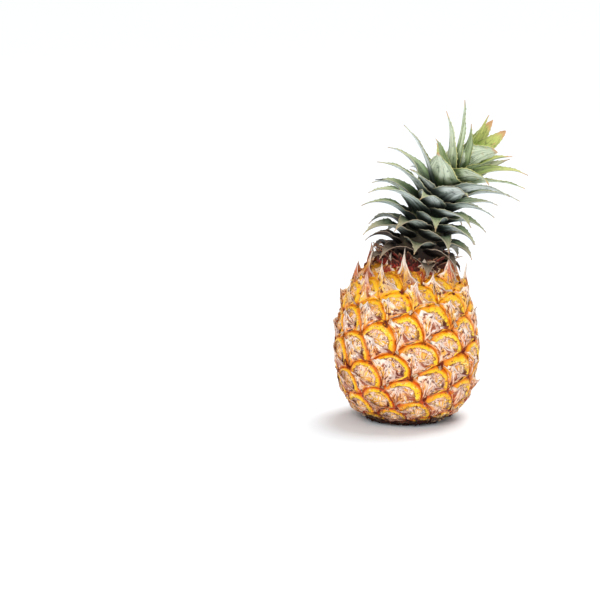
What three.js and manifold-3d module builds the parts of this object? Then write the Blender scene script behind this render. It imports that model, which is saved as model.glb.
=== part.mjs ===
// A small whole pineapple standing on its cut base: the fruit with its spiralling eyes, the cut
// stalk under it, and the leaning crown of leaves with the short stem that carries them.
// Millimetres, +Z up, origin at the middle of the base. The front of the fruit faces -Y.
import * as THREE from 'three';
import { mergeVertices } from 'three/addons/utils/BufferGeometryUtils.js';
import Module from 'manifold-3d';

const wasm = await Module();
wasm.setup();

// ---- Driving dimensions ----

const GAP = 0.3; // clearance kept between neighbouring pieces
const SMALLEST_EDGE = 0.05; // slivers left by a cut are closed up below this size
const CORNER_JOIN = 0.03; // corners nearer than this are joined

// Half-section of the fruit over the crests of its eyes: [radius, height], base to crown.
const FRUIT_TOP = 115; // height of the flat that the crown sits on
const FRUIT_TOP_RADIUS = 17;
const FRUIT_PROFILE = [
  [13, 0], [23.5, 0], [33.5, 4.5], [41, 10.5], [46, 18], [49.6, 28], [52, 40], [52.8, 50],
  [52.3, 60], [50.6, 71], [48, 82], [44.8, 92], [41, 100], [36, 107], [30, 112], [22, 114.5],
  [FRUIT_TOP_RADIUS, FRUIT_TOP],
];
const FRUIT_GIRTH_RADIUS = 52.8; // widest radius, where the eyes are largest
const STALK_RADIUS = 11;
const STALK_DEPTH = 6; // how far the stalk reaches up into the fruit

// Eyes: each one stands a fixed turn round and a fixed rise above the one before it.
// They are numbered upwards from the middle eye of the front, which is eye 0.
const EYE_TURN = -139.3; // degrees
const EYE_RISE = 1.5; // along the skin, at the girth
const EYE_SHRINK = 0.75; // how strongly eyes get smaller as the fruit narrows
const FRONT_EYE_HEIGHT = 72;
const FRONT_EYE_AZIMUTH = -4; // degrees, from the front towards the right
const ALONG_UP = 5; // the next eye along the shallow spiral, right and up
const ALONG_DOWN = 13; // the next eye along the steep spiral, right and down
const GROOVE_DEPTH = 2.6; // from the crest of an eye down to the groove round it
const DIMPLE_DEPTH = 0.7; // how far the middle of an eye is sunk below its crest
const CREST_SPREAD = 0.62; // the crest's place between the middle of an eye (0) and the groove (1)

// Crown: the stem's middle line, and its radius at the bottom, the middle and the top.
const STEM_LINE = [[4.5, 0, 108], [9, 0, 126], [13.5, 0, 143], [19, -1, 158], [26, -2, 171], [36, -4, 183]];
const STEM_RADIUS = [[0, 19.5], [0.5, 12.5], [1, 3.6]];
const STEM_SIDES = 16;
const STEM_RINGS = 12;

// Leaves are numbered up the crown. Each ramp below gives a size against the leaf's place on the
// crown, from 0 at the lowest to 1 at the heart.
const CROWN_STATIONS = 61;
const LOWEST_STATION = 4;
const HIGHEST_STATION = 60;
const LEAF_TURN = -137.508; // degrees from one leaf to the next
const FIRST_LEAF_AZIMUTH = 200; // degrees, from the front towards the right
const LEAF_PLACE = [[0, 0.02], [0.5, 0.5], [1, 0.99]]; // fraction of the stem's length
const LEAF_LENGTH = [[0, 18], [0.1, 30], [0.25, 36], [0.45, 43], [0.6, 50], [0.75, 56], [0.88, 50], [1, 30]];
const LEAF_WIDTH = [[0, 22], [0.1, 26], [0.3, 27], [0.6, 25], [0.8, 20], [0.92, 15], [1, 9]];
const LEAF_BASE_ANGLE = [[0, 54], [0.3, 50], [0.6, 42], [0.85, 26], [1, 6]]; // from the stem, degrees
const LEAF_TIP_ANGLE = [[0, 162], [0.2, 152], [0.4, 132], [0.6, 100], [0.85, 52], [1, 12]];
const LEAF_BEND_POWER = 1.15; // how late along the leaf the bend comes
const LEAF_TAPER = [[0, 1.5], [0.5, 1.5], [1, 1]]; // how early the blade narrows
const LEAF_TAPER_START = 1.25; // how gently the narrowing begins
const LEAF_SHOULDER = 0.12; // fraction of the leaf's length before it starts to narrow
const LEAF_FOOT = 0.86; // the foot's width, as a fraction of the leaf's greatest width
const LEAF_FOOT_SUNK = 1.5; // how far the foot starts inside the stem, before the stem cuts it
const LEAF_CHANNEL = 40; // degrees that each half of the blade is rolled up
const LEAF_CHANNEL_PLACE = 0.35; // fraction of the leaf's length where it is fully rolled
const LEAF_ROLL_LIMITS = [0.05, 1.4]; // radians
const LEAF_THICKNESS = 1.4;
const LEAF_TIP_THICKNESS = 0.7;
const LEAF_TIP_HALF_WIDTH = 0.5;
const CROWDED_BELOW = 0.6; // leaves below this, on the side the crown leans to, are crowded
const CROWDED_LOSS = 0.22; // fraction of their length that crowded leaves lose
const SUNNY_GAIN = 0.06; // fraction gained or lost by leaves higher up, by their side
// Leaves that grew unlike their neighbours: factors on length, width and taper, degrees of turn
// round the stem, and degrees added to the angles at the foot and the tip.
const ODD_LEAVES = {
  6: { length: 0.85 }, 10: { length: 0.86 }, 12: { length: 0.85, tip: -10 }, 15: { length: 1.12 },
  18: { length: 0.92, tip: 14 }, 26: { length: 1.3, tip: -4 }, 28: { length: 1.33, tip: -4 },
  31: { length: 0.84, tip: 6 }, 32: { length: 1.25, tip: -14 }, 36: { tip: 5 },
  39: { length: 1.04, tip: 16 }, 40: { tip: 6 }, 41: { length: 0.62, turn: -15, foot: 14 },
  43: { tip: 10 }, 44: { length: 0.98, tip: -2 }, 45: { tip: -14, width: 1.2 },
  46: { length: 0.86, turn: -23, foot: 13, tip: -4, width: 1.7 }, 47: { length: 0.62 },
  48: { length: 0.96, tip: 16 }, 49: { length: 0.83, turn: 11, tip: 9 },
  51: { length: 0.88, tip: 40, width: 1.3 },
  52: { length: 1.1, turn: 46, foot: -4, tip: 7, width: 1.15 }, 53: { length: 1.1, tip: 34 },
  54: { length: 0.95, turn: 49, foot: -28, tip: 22, width: 2, taper: 0.7 },
  55: { length: 1.12, turn: -14, tip: -7, width: 1.25, taper: 0.7 },
  56: { length: 0.95, turn: 45, foot: -9, tip: 15, width: 1.4 },
  57: { length: 1.51, turn: 15, foot: 11, tip: 16, width: 0.85 },
  58: { length: 1.23, turn: 15, tip: 9, width: 1.5, taper: 0.6 },
  59: { length: 1.22, turn: -59, tip: 30, width: 1.5 }, 60: { length: 1.44, turn: 6, width: 1.3 },
};
const LEAF_STEPS = 6; // sections along a leaf
const LEAF_STRIPS = 2; // facets across a leaf

// ---- Small tools ----

const radians = THREE.MathUtils.degToRad;

// Reads a ramp of [place, value] pairs by straight lines between them.
function ramp(pairs, place) {
  const next = pairs.findIndex(([x]) => x >= place);
  if (next <= 0) return pairs.at(next)[1];
  const [[x0, y0], [x1, y1]] = [pairs[next - 1], pairs[next]];
  return THREE.MathUtils.mapLinear(place, x0, x1, y0, y1);
}

// The point at an azimuth from the front towards the right, a radius from the axis and a height.
function around(azimuth, radius, height) {
  const turn = radians(azimuth);
  return new THREE.Vector3(radius * Math.sin(turn), -radius * Math.cos(turn), height);
}

function geometryOf(points, triangles) {
  const geometry = new THREE.BufferGeometry().setFromPoints(points);
  geometry.setIndex(triangles);
  return geometry;
}

// A closed tube through rings of equally many points, flat at both ends. Each ring turns
// anticlockwise when it is seen from the end of the tube.
function tubeThrough(rings) {
  const count = rings[0].length;
  const triangles = [];
  for (let ring = 0; ring + 1 < rings.length; ring += 1) {
    for (let side = 0; side < count; side += 1) {
      const a = ring * count + side;
      const b = ring * count + (side + 1) % count;
      triangles.push(a, b, b + count, a, b + count, a + count);
    }
  }
  const last = (rings.length - 1) * count;
  for (let side = 1; side + 1 < count; side += 1) {
    triangles.push(0, side + 1, side, last, last + side, last + side + 1);
  }
  return geometryOf(rings.flat(), triangles);
}

function solidOf(geometry) {
  const bare = geometry.clone();
  bare.deleteAttribute('normal');
  bare.deleteAttribute('uv');
  const merged = mergeVertices(bare, 1e-5);
  const vertProperties = new Float32Array(merged.attributes.position.array);
  const triVerts = new Uint32Array(merged.index.array);
  return new wasm.Manifold(new wasm.Mesh({ numProp: 3, vertProperties, triVerts }));
}

function largestBody(solid) {
  return solid.decompose().reduce((best, next) => (next.volume() > best.volume() ? next : best));
}

// The largest connected body of a solid, as geometry. Corners that a cut left almost touching are
// joined, and the faces between them are dropped.
function geometryFrom(solid) {
  const { vertProperties, triVerts } = largestBody(solid).asOriginal().simplify(SMALLEST_EDGE).getMesh();
  const rough = new THREE.BufferGeometry();
  rough.setAttribute('position', new THREE.BufferAttribute(vertProperties, 3));
  rough.setIndex(new THREE.BufferAttribute(triVerts, 1));
  const joined = mergeVertices(rough, CORNER_JOIN);
  const triangles = [];
  for (let corner = 0; corner < joined.index.count; corner += 3) {
    const [a, b, c] = joined.index.array.slice(corner, corner + 3);
    if (a !== b && b !== c && c !== a) triangles.push(a, b, c);
  }
  joined.setIndex(triangles);
  const mesh = largestBody(solidOf(joined)).getMesh();
  const geometry = new THREE.BufferGeometry();
  geometry.setAttribute('position', new THREE.BufferAttribute(mesh.vertProperties, 3));
  geometry.setIndex(new THREE.BufferAttribute(mesh.triVerts, 1));
  return geometry;
}

function material(color, roughness) {
  return new THREE.MeshStandardMaterial({ color, roughness, metalness: 0 });
}

const pineapple = new THREE.Group();

function addPiece(name, geometry, finish) {
  const mesh = new THREE.Mesh(geometry, finish);
  mesh.name = name;
  pineapple.add(mesh);
}

// ---- Fruit: one body, covered in eyes that lie on two families of spirals ----

const profileCurve = new THREE.SplineCurve(FRUIT_PROFILE.map(([r, z]) => new THREE.Vector2(r, z)));
const PROFILE_STEPS = 600;

// The profile in small steps, each numbered by the eye whose middle would lie there.
function numberProfile() {
  const steps = [];
  let number = 0;
  for (let step = 0; step <= PROFILE_STEPS; step += 1) {
    const point = profileCurve.getPoint(step / PROFILE_STEPS);
    if (step > 0) {
      const size = (point.x / FRUIT_GIRTH_RADIUS) ** EYE_SHRINK;
      number += point.distanceTo(steps.at(-1).point) / (EYE_RISE * size);
    }
    steps.push({ number, point, tangent: profileCurve.getTangent(step / PROFILE_STEPS) });
  }
  const front = steps.find(({ point }) => point.y >= FRONT_EYE_HEIGHT);
  return steps.map((step) => ({ ...step, number: step.number - front.number }));
}

const numberedProfile = numberProfile();

// A point of the skin, by eye number and azimuth, sunk below the crests by some depth.
function skinPoint(number, azimuth, depth) {
  const found = numberedProfile.find((step) => step.number >= number) ?? numberedProfile.at(-1);
  const { point, tangent } = found;
  const radius = point.x - depth * tangent.y;
  const height = point.y + depth * tangent.x;
  return around(azimuth, radius, THREE.MathUtils.clamp(height, 0, FRUIT_TOP));
}

const eyeAzimuth = (eye) => FRONT_EYE_AZIMUTH + eye * EYE_TURN;
const halfStep = (ALONG_UP + ALONG_DOWN) / 2;
const upTurn = THREE.MathUtils.euclideanModulo(ALONG_UP * EYE_TURN, 360);
const downTurn = THREE.MathUtils.euclideanModulo(-ALONG_DOWN * EYE_TURN, 360);

// Where four eyes meet there is a corner, numbered by its height as the eyes are.
const cornerAzimuth = (corner) => eyeAzimuth(corner - halfStep) + (upTurn - downTurn) / 2;

function buildFruit() {
  const first = Math.ceil(numberedProfile[0].number) + halfStep;
  const last = Math.floor(numberedProfile.at(-1).number) - halfStep;
  const points = [];
  const triangles = [];
  const keep = (point) => points.push(point) - 1;
  const corners = new Map();
  for (let corner = first - halfStep; corner <= last + halfStep; corner += 1) {
    corners.set(corner, keep(skinPoint(corner, cornerAzimuth(corner), GROOVE_DEPTH)));
  }
  for (let eye = first; eye <= last; eye += 1) {
    const azimuth = eyeAzimuth(eye);
    const side = (ALONG_DOWN - ALONG_UP) / 2;
    const tilt = (upTurn - downTurn) / 2;
    const spread = (upTurn + downTurn) / 2;
    // Bottom, right, top and left corner: how far up in eye numbers, and how far round.
    const offsets = [[-halfStep, -tilt], [-side, spread], [halfStep, tilt], [side, -spread]];
    const middle = keep(skinPoint(eye, azimuth, DIMPLE_DEPTH));
    const crest = offsets.map(([up, turn]) => (
      keep(skinPoint(eye + up * CREST_SPREAD, azimuth + turn * CREST_SPREAD, 0))));
    const outer = offsets.map(([up]) => corners.get(eye + up));
    for (let edge = 0; edge < 4; edge += 1) {
      const next = (edge + 1) % 4;
      triangles.push(middle, crest[edge], crest[next]);
      triangles.push(crest[edge], outer[edge], outer[next], crest[edge], outer[next], crest[next]);
    }
  }
  const socket = STALK_RADIUS + GAP;
  closeEnd(points, triangles, corners, first, [[socket, 0], [socket, STALK_DEPTH + GAP]]);
  closeEnd(points, triangles, corners, last + 1, [[FRUIT_TOP_RADIUS, FRUIT_TOP]]);
  return geometryOf(points, triangles);
}

// Closes one end of the skin from its zigzag edge, through rings of [radius, height], to a middle
// point. The edge runs through the corners on either side of the eye number given.
function closeEnd(points, triangles, corners, eye, rings) {
  const atTop = rings[0][1] > 0;
  const edge = [];
  let corner = eye - halfStep;
  for (let step = 0; step < ALONG_UP + ALONG_DOWN; step += 1) {
    edge.push(corner);
    corner += corner + ALONG_UP < eye + halfStep ? ALONG_UP : -ALONG_DOWN;
  }
  const face = (...indices) => triangles.push(...(atTop ? indices : indices.toReversed()));
  let outer = edge.map((number) => corners.get(number));
  for (const [radius, height] of rings) {
    const inner = edge.map((number) => points.push(around(cornerAzimuth(number), radius, height)) - 1);
    outer.forEach((index, place) => {
      const next = (place + 1) % outer.length;
      face(index, outer[next], inner[next]);
      face(index, inner[next], inner[place]);
    });
    outer = inner;
  }
  const middle = points.push(new THREE.Vector3(0, 0, rings.at(-1)[1])) - 1;
  outer.forEach((index, place) => face(index, outer[(place + 1) % outer.length], middle));
}

addPiece('fruit', buildFruit(), material(0xe8a02c, 0.5));

// ---- Cut stalk: the woody stub that the fruit was cut from, flush with the base ----

const STALK_SIDES = 24;
const stalkGeometry = new THREE.CylinderGeometry(STALK_RADIUS, STALK_RADIUS, STALK_DEPTH, STALK_SIDES);
stalkGeometry.rotateX(Math.PI / 2);
stalkGeometry.translate(0, 0, STALK_DEPTH / 2);
addPiece('cut_stalk', stalkGeometry, material(0xb89a6a, 0.85));

// ---- Crown stem: the short leaning stem that the leaves grow from ----

const stemCurve = new THREE.CatmullRomCurve3(
  STEM_LINE.map((point) => new THREE.Vector3(...point)), false, 'catmullrom', 0.5);

// The stem's place, direction, and the outward direction at an azimuth from the front.
function stemFrame(place, azimuth) {
  const along = stemCurve.getTangent(place);
  const front = new THREE.Vector3(0, -1, 0);
  front.addScaledVector(along, -front.dot(along)).normalize();
  const right = new THREE.Vector3().crossVectors(along, front);
  const turn = radians(azimuth);
  const out = front.multiplyScalar(Math.cos(turn)).addScaledVector(right, Math.sin(turn));
  return { origin: stemCurve.getPoint(place), along, out };
}

function stemSolid(clearance) {
  const rings = [];
  for (let ring = 0; ring <= STEM_RINGS; ring += 1) {
    const place = ring / STEM_RINGS;
    const points = [];
    for (let side = 0; side < STEM_SIDES; side += 1) {
      const { origin, out } = stemFrame(place, (side * 360) / STEM_SIDES);
      points.push(origin.addScaledVector(out, ramp(STEM_RADIUS, place) + clearance));
    }
    rings.push(points);
  }
  return solidOf(tubeThrough(rings));
}

// The stem stands flat on the fruit's top, so all of it that is lower is cut away.
const TRIM_SIZE = 100;
const trimBlock = new THREE.BoxGeometry(TRIM_SIZE, TRIM_SIZE, TRIM_SIZE);
trimBlock.translate(0, 0, FRUIT_TOP + GAP - TRIM_SIZE / 2);
addPiece('crown_stem', geometryFrom(stemSolid(0).subtract(solidOf(trimBlock))), material(0x5f7048, 0.7));

// ---- Crown leaves: channelled, tapering blades on one rising spiral ----

// Half-width of a leaf along its length, as a fraction of its greatest half-width.
function leafTaper(along, power) {
  const rise = Math.sin((Math.min(along / LEAF_SHOULDER, 1) * Math.PI) / 2);
  const rest = Math.max(along - LEAF_SHOULDER, 0) / (1 - LEAF_SHOULDER);
  return THREE.MathUtils.lerp(LEAF_FOOT, 1, rise) * (1 - rest ** LEAF_TAPER_START) ** power;
}

// One leaf as a closed tube of flat sections, made larger all round by some clearance.
function leafSolid(station, clearance) {
  const height = station / CROWN_STATIONS;
  const odd = { length: 1, width: 1, taper: 1, turn: 0, foot: 0, tip: 0, ...ODD_LEAVES[station] };
  const azimuth = FIRST_LEAF_AZIMUTH + station * LEAF_TURN + odd.turn;
  const lean = Math.sin(radians(azimuth));
  const change = height < CROWDED_BELOW ? -CROWDED_LOSS * Math.max(lean, 0) : SUNNY_GAIN * lean;
  const length = ramp(LEAF_LENGTH, height) * (1 + change) * odd.length;
  const halfWidth = (ramp(LEAF_WIDTH, height) / 2) * odd.width;
  const baseAngle = ramp(LEAF_BASE_ANGLE, height) + odd.foot;
  const tipAngle = ramp(LEAF_TIP_ANGLE, height) + odd.tip;
  const power = ramp(LEAF_TAPER, height) * odd.taper;
  const place = ramp(LEAF_PLACE, height);
  const { origin, along, out } = stemFrame(place, azimuth);
  const across = new THREE.Vector3().crossVectors(along, out);
  const middle = origin.clone().addScaledVector(out, ramp(STEM_RADIUS, place) - LEAF_FOOT_SUNK);
  const step = (length + clearance) / LEAF_STEPS;
  const directionAt = (angle) => (
    out.clone().multiplyScalar(Math.sin(angle)).addScaledVector(along, Math.cos(angle)));
  const angleAt = (part) => radians(baseAngle + (tipAngle - baseAngle) * part ** LEAF_BEND_POWER);
  const rings = [];
  for (let section = 0; section <= LEAF_STEPS; section += 1) {
    const part = section / LEAF_STEPS;
    const angle = angleAt(part);
    if (section > 0) {
      const between = angleAt(part - 0.5 / LEAF_STEPS);
      middle.addScaledVector(directionAt(between), step);
    }
    const inner = out.clone().multiplyScalar(-Math.cos(angle)).addScaledVector(along, Math.sin(angle));
    const offset = middle.clone().sub(origin);
    const fromStem = offset.addScaledVector(along, -offset.dot(along)).length();
    const half = Math.max(halfWidth * leafTaper(part, power), LEAF_TIP_HALF_WIDTH) + clearance;
    const channel = radians(LEAF_CHANNEL) * Math.min(part / LEAF_CHANNEL_PLACE, 1);
    const roll = THREE.MathUtils.clamp(Math.max(half / fromStem, channel), ...LEAF_ROLL_LIMITS);
    const thick = THREE.MathUtils.lerp(LEAF_THICKNESS, LEAF_TIP_THICKNESS, part) / 2 + clearance;
    const pointAt = (strip, side) => {
      const turn = roll * ((2 * strip) / LEAF_STRIPS - 1);
      const radius = half / roll;
      return middle.clone()
        .addScaledVector(across, (radius - side * thick) * Math.sin(turn))
        .addScaledVector(inner, radius - (radius - side * thick) * Math.cos(turn));
    };
    const points = [];
    for (let strip = 0; strip <= LEAF_STRIPS; strip += 1) points.push(pointAt(strip, -1));
    for (let strip = LEAF_STRIPS; strip >= 0; strip -= 1) points.push(pointAt(strip, 1));
    rings.push(points);
  }
  return solidOf(tubeThrough(rings));
}

function leafFinish(height) {
  const color = new THREE.Color(0x3c4a38).lerp(new THREE.Color(0x9fb45a), height ** 1.5);
  return new THREE.MeshStandardMaterial({ color, roughness: 0.55, metalness: 0 });
}

// Each leaf is cut back from the stem, and from the leaves below it where they would cross.
const neighbours = [stemSolid(GAP)];
for (let station = LOWEST_STATION; station <= HIGHEST_STATION; station += 1) {
  const trimmed = leafSolid(station, 0).subtract(wasm.Manifold.union(neighbours));
  neighbours.push(leafSolid(station, GAP));
  const name = `leaf_${String(station - LOWEST_STATION + 1).padStart(2, '0')}`;
  addPiece(name, geometryFrom(trimmed), leafFinish(station / CROWN_STATIONS));
}

export default pineapple;
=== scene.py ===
# A small whole pineapple standing on its cut base, under a leaning crown of leaves.
# Blender works in metres here; sizes are written in millimetres and turned by MM.
import math

import bpy
import numpy as np
from mathutils import Matrix, Vector


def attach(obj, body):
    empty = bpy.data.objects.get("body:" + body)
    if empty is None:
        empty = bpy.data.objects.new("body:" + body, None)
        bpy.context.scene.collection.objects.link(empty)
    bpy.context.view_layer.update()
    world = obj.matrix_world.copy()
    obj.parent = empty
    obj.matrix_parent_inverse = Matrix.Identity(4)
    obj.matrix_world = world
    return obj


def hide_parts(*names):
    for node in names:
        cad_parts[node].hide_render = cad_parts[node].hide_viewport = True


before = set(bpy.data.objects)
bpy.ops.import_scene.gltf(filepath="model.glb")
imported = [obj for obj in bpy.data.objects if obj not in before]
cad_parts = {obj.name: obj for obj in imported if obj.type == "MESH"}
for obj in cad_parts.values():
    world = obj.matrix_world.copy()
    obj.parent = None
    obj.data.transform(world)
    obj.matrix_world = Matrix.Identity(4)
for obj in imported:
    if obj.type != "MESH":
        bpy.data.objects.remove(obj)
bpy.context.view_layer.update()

MM = 0.001
BODY = "root"


# ---------------------------------------------------------------------------------------------
# Camera. It stands level with the front of the fruit and looks down on it a little. The fruit's
# axis and the middle of its base fall on fixed pixels of the square frame.

FRAME_SIDE = 600  # pixels
FRUIT_AXIS_PIXEL = 406
BASE_PIXEL = 417
MM_PER_PIXEL = 0.726  # at the fruit's axis
CAMERA_ELEVATION = math.radians(10.5)
CAMERA_DISTANCE = 1500 * MM
SIGHT_HEIGHT = 60 * MM  # the height on the axis that is CAMERA_DISTANCE away

right = Vector((1, 0, 0))
back = Vector((0, -math.cos(CAMERA_ELEVATION), math.sin(CAMERA_ELEVATION)))
up = back.cross(right)
across = (FRUIT_AXIS_PIXEL - FRAME_SIDE / 2) * MM_PER_PIXEL * MM
below = (BASE_PIXEL - FRAME_SIDE / 2) * MM_PER_PIXEL * MM
nearer = SIGHT_HEIGHT * back.z
spread = (CAMERA_DISTANCE + nearer) / CAMERA_DISTANCE

camera_data = bpy.data.cameras.new("camera")
camera_data.angle = 2 * math.atan(FRAME_SIDE / 2 * MM_PER_PIXEL * MM / CAMERA_DISTANCE)
camera = bpy.data.objects.new("camera", camera_data)
bpy.context.scene.collection.objects.link(camera)
camera.matrix_world = Matrix((right, up, back)).transposed().to_4x4()
camera.location = back * (CAMERA_DISTANCE + nearer) + (up * below - right * across) * spread
bpy.context.scene.camera = camera


# ---------------------------------------------------------------------------------------------
# Studio. A wide white floor under an even pale sky, a soft light from high at the right, a little
# behind, a large lamp at the upper left of the camera and a weak one at the right.

FLOOR_SIZE = 60.0
FLOOR_COLOUR = (0.905, 0.945, 0.985, 1)
SKY_STRENGTH = 0.34
SUN_STRENGTH = 2.7
SUN_SPREAD = math.radians(42)  # how wide it is in the sky, which softens the shadows
SUN_TILT = math.radians(18)  # away from straight overhead, both to the right and to the back

bpy.context.scene.view_settings.view_transform = "Standard"
world = bpy.data.worlds.new("studio")
world.use_nodes = True
world.node_tree.nodes["Background"].inputs["Color"].default_value = (1, 1, 1, 1)
world.node_tree.nodes["Background"].inputs["Strength"].default_value = SKY_STRENGTH
bpy.context.scene.world = world


def add_lamp(name, place, target, size, power):
    lamp = bpy.data.lights.new(name, "AREA")
    lamp.size = size
    lamp.energy = power
    holder = bpy.data.objects.new(name, lamp)
    bpy.context.scene.collection.objects.link(holder)
    holder.location = place
    holder.rotation_euler = (Vector(target) - Vector(place)).to_track_quat("-Z", "Y").to_euler()


add_lamp("key_lamp", place=(-0.45, -1.5, 1.05), target=(0, 0, 0.1), size=1.0, power=20)
add_lamp("fill_lamp", place=(1.3, -1.1, 0.8), target=(0, 0, 0.12), size=1.2, power=3)

sun = bpy.data.lights.new("top_light", "SUN")
sun.energy = SUN_STRENGTH
sun.angle = SUN_SPREAD
sun_holder = bpy.data.objects.new("top_light", sun)
bpy.context.scene.collection.objects.link(sun_holder)
sun_holder.rotation_euler = (-SUN_TILT, SUN_TILT, 0)

bpy.ops.object.select_all(action="DESELECT")
bpy.ops.mesh.primitive_plane_add(size=FLOOR_SIZE)
floor = bpy.context.active_object
floor.name = "floor"
floor_finish = bpy.data.materials.new("floor_white")
floor_finish.use_nodes = True
floor_shader = floor_finish.node_tree.nodes["Principled BSDF"]
floor_shader.inputs["Base Color"].default_value = FLOOR_COLOUR
floor_shader.inputs["Roughness"].default_value = 0.9
floor.data.materials.append(floor_finish)


# ---------------------------------------------------------------------------------------------
# Fruit skin. The fruit is one body that grew from a spike of flowers, and each flower left an
# eye: a waxy bulging ring round a flat papery disc. The eyes touch along red-brown grooves and
# lie on two families of spirals. It is one closed skin, made eye by eye.

FRUIT_TOP = 115
SEAT_RADIUS = 17  # of the flat top that the crown grows from
FRUIT_PROFILE = [  # radius and height over the crests of the eyes, base to crown
    (13, 0), (23.5, 0), (33.5, 4.5), (41, 10.5), (46, 18), (49.6, 28), (52, 40), (52.8, 50),
    (52.3, 60), (50.6, 71), (48, 82), (44.8, 92), (41, 100), (36, 107), (30, 112), (22, 114.5),
    (SEAT_RADIUS, FRUIT_TOP)]
PROFILE_STEPS = 75  # from each point of the profile to the next
GIRTH_RADIUS = 52.8
EYE_TURN = -139.3  # degrees from one eye to the next up the fruit
EYE_RISE = 1.5  # from one eye to the next, along the skin at the girth
EYE_SHRINK = 0.75  # how closely the size of an eye follows the radius of the fruit
FRONT_EYE_HEIGHT = 72
FRONT_EYE_AZIMUTH = -4
ALONG_UP = 5  # the next eye right and up
ALONG_DOWN = 13  # the next eye right and down
HALF_STEP = (ALONG_UP + ALONG_DOWN) // 2
UP_TURN = (ALONG_UP * EYE_TURN) % 360
DOWN_TURN = (-ALONG_DOWN * EYE_TURN) % 360
SOCKET_RADIUS = 11.3  # of the hollow in the base that the cut stalk fills
SOCKET_DEPTH = 6.3
SOCKET_FLARE = 0.8  # how much wider the mouth of the socket is
SOCKET_FLARE_TOP = 0.6


def smooth_curve(points, places, loose_ends=False):
    """Points on a smooth curve through the given ones; places run from 0 to 1."""
    knots = np.array(points, float)
    ends = (2 * knots[0] - knots[1], 2 * knots[-1] - knots[-2]) if loose_ends else (knots[0], knots[-1])
    padded = np.vstack([ends[0], knots, ends[1]])
    scaled = np.clip(places, 0, 1) * (len(knots) - 1)
    first = np.minimum(scaled.astype(int), len(knots) - 2)
    u = (scaled - first)[:, None]
    a, b, c, d = (padded[first + shift] for shift in range(4))
    return 0.5 * (2 * b + (c - a) * u + (2 * a - 5 * b + 4 * c - d) * u**2 + (3 * b - a - 3 * c + d) * u**3)


profile = smooth_curve(FRUIT_PROFILE, np.linspace(0, 1, PROFILE_STEPS * (len(FRUIT_PROFILE) - 1) + 1))
profile_step = np.linalg.norm(np.diff(profile, axis=0), axis=1)
profile_size = (profile[1:, 0] / GIRTH_RADIUS) ** EYE_SHRINK
# The number of the eye at each point of the profile, with eye 0 at FRONT_EYE_HEIGHT.
profile_number = np.concatenate([[0], np.cumsum(profile_step / (EYE_RISE * profile_size))])
profile_number -= profile_number[np.argmax(profile[:, 1] >= FRONT_EYE_HEIGHT)]
profile_lean = np.gradient(profile, axis=0)
profile_lean /= np.linalg.norm(profile_lean, axis=1, keepdims=True)


def on_profile(values, number):
    return np.interp(number, profile_number, values)


def level(number):
    """The height of the skin where an eye of this number is."""
    return float(on_profile(profile[:, 1], number))


def eye_scale(number):
    """The size of an eye against one at the girth."""
    return float(on_profile(profile[:, 0], number) / GIRTH_RADIUS) ** EYE_SHRINK


def skin_frame(number, azimuth):
    """Place, outward normal, upward direction and rightward direction on the skin."""
    radius, height = on_profile(profile[:, 0], number), on_profile(profile[:, 1], number)
    lean_r, lean_z = on_profile(profile_lean[:, 0], number), on_profile(profile_lean[:, 1], number)
    turn = np.radians(azimuth)
    out_x, out_y = np.sin(turn), -np.cos(turn)
    place = np.stack([radius * out_x, radius * out_y, height], -1)
    normal = np.stack([lean_z * out_x, lean_z * out_y, -lean_r], -1)
    upward = np.stack([lean_r * out_x, lean_r * out_y, lean_z], -1)
    rightward = np.stack([-out_y, out_x, 0 * height], -1)
    return place, normal, upward, rightward


def eye_azimuth(eye):
    return FRONT_EYE_AZIMUTH + eye * EYE_TURN


def luck(seed, *shape):
    """Steady random numbers from 0 to 1, the same on every run. Each use has its own seeds."""
    return np.random.default_rng(abs(int(seed))).random(shape)


EDGE_STEPS = 10  # skin facets along each of an eye's four edges
# How the eyes differ, as fractions of a cell: how far the top edges bow out, the ring's radius
# where it is round and not four-cornered, and how far corners, edges and middles stray.
ARCH = 0.15
ROUND_RADIUS = 0.535
CORNER_STRAY = 0.2
EDGE_STRAY = 0.12
MIDDLE_STRAY = 0.1
# The rings of points of an eye, from its middle (0) to its border (1), and where its parts end.
RHO = [0.14, 0.28, 0.42, 0.54, 0.62, 0.67, 0.71, 0.75, 0.79, 0.83, 0.87, 0.91, 0.945, 0.975, 1.0]
DISC_EDGE = 0.68
RING_SLOPE = 0.09
GROOVE_WIDTH = 0.2
DISC_DEPTH = 1.0
GROOVE_DEPTH = 2.9  # at a corner, where four eyes meet
GROOVE_SHARE = 0.68  # of that depth, midway between two corners
FLATTEST = 0.35  # the share of these heights that is left at the base and the top of the fruit

# Corners of a cell, going round: eye-number steps from the middle, and cell coordinates.
SIDE_STEP = (ALONG_DOWN - ALONG_UP) // 2
CORNERS = [(SIDE_STEP, (-0.5, -0.5)), (HALF_STEP, (0.5, -0.5)),
           (-SIDE_STEP, (0.5, 0.5)), (-HALF_STEP, (-0.5, 0.5))]
# How the edge from each corner to the next bows, in cell coordinates.
BOWS = [(0, -ARCH), (ARCH, 0), (0, -ARCH), (ARCH, 0)]


def corner_jitter(corner):
    return (luck(9000 + corner, 2) - 0.5) * CORNER_STRAY


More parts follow.
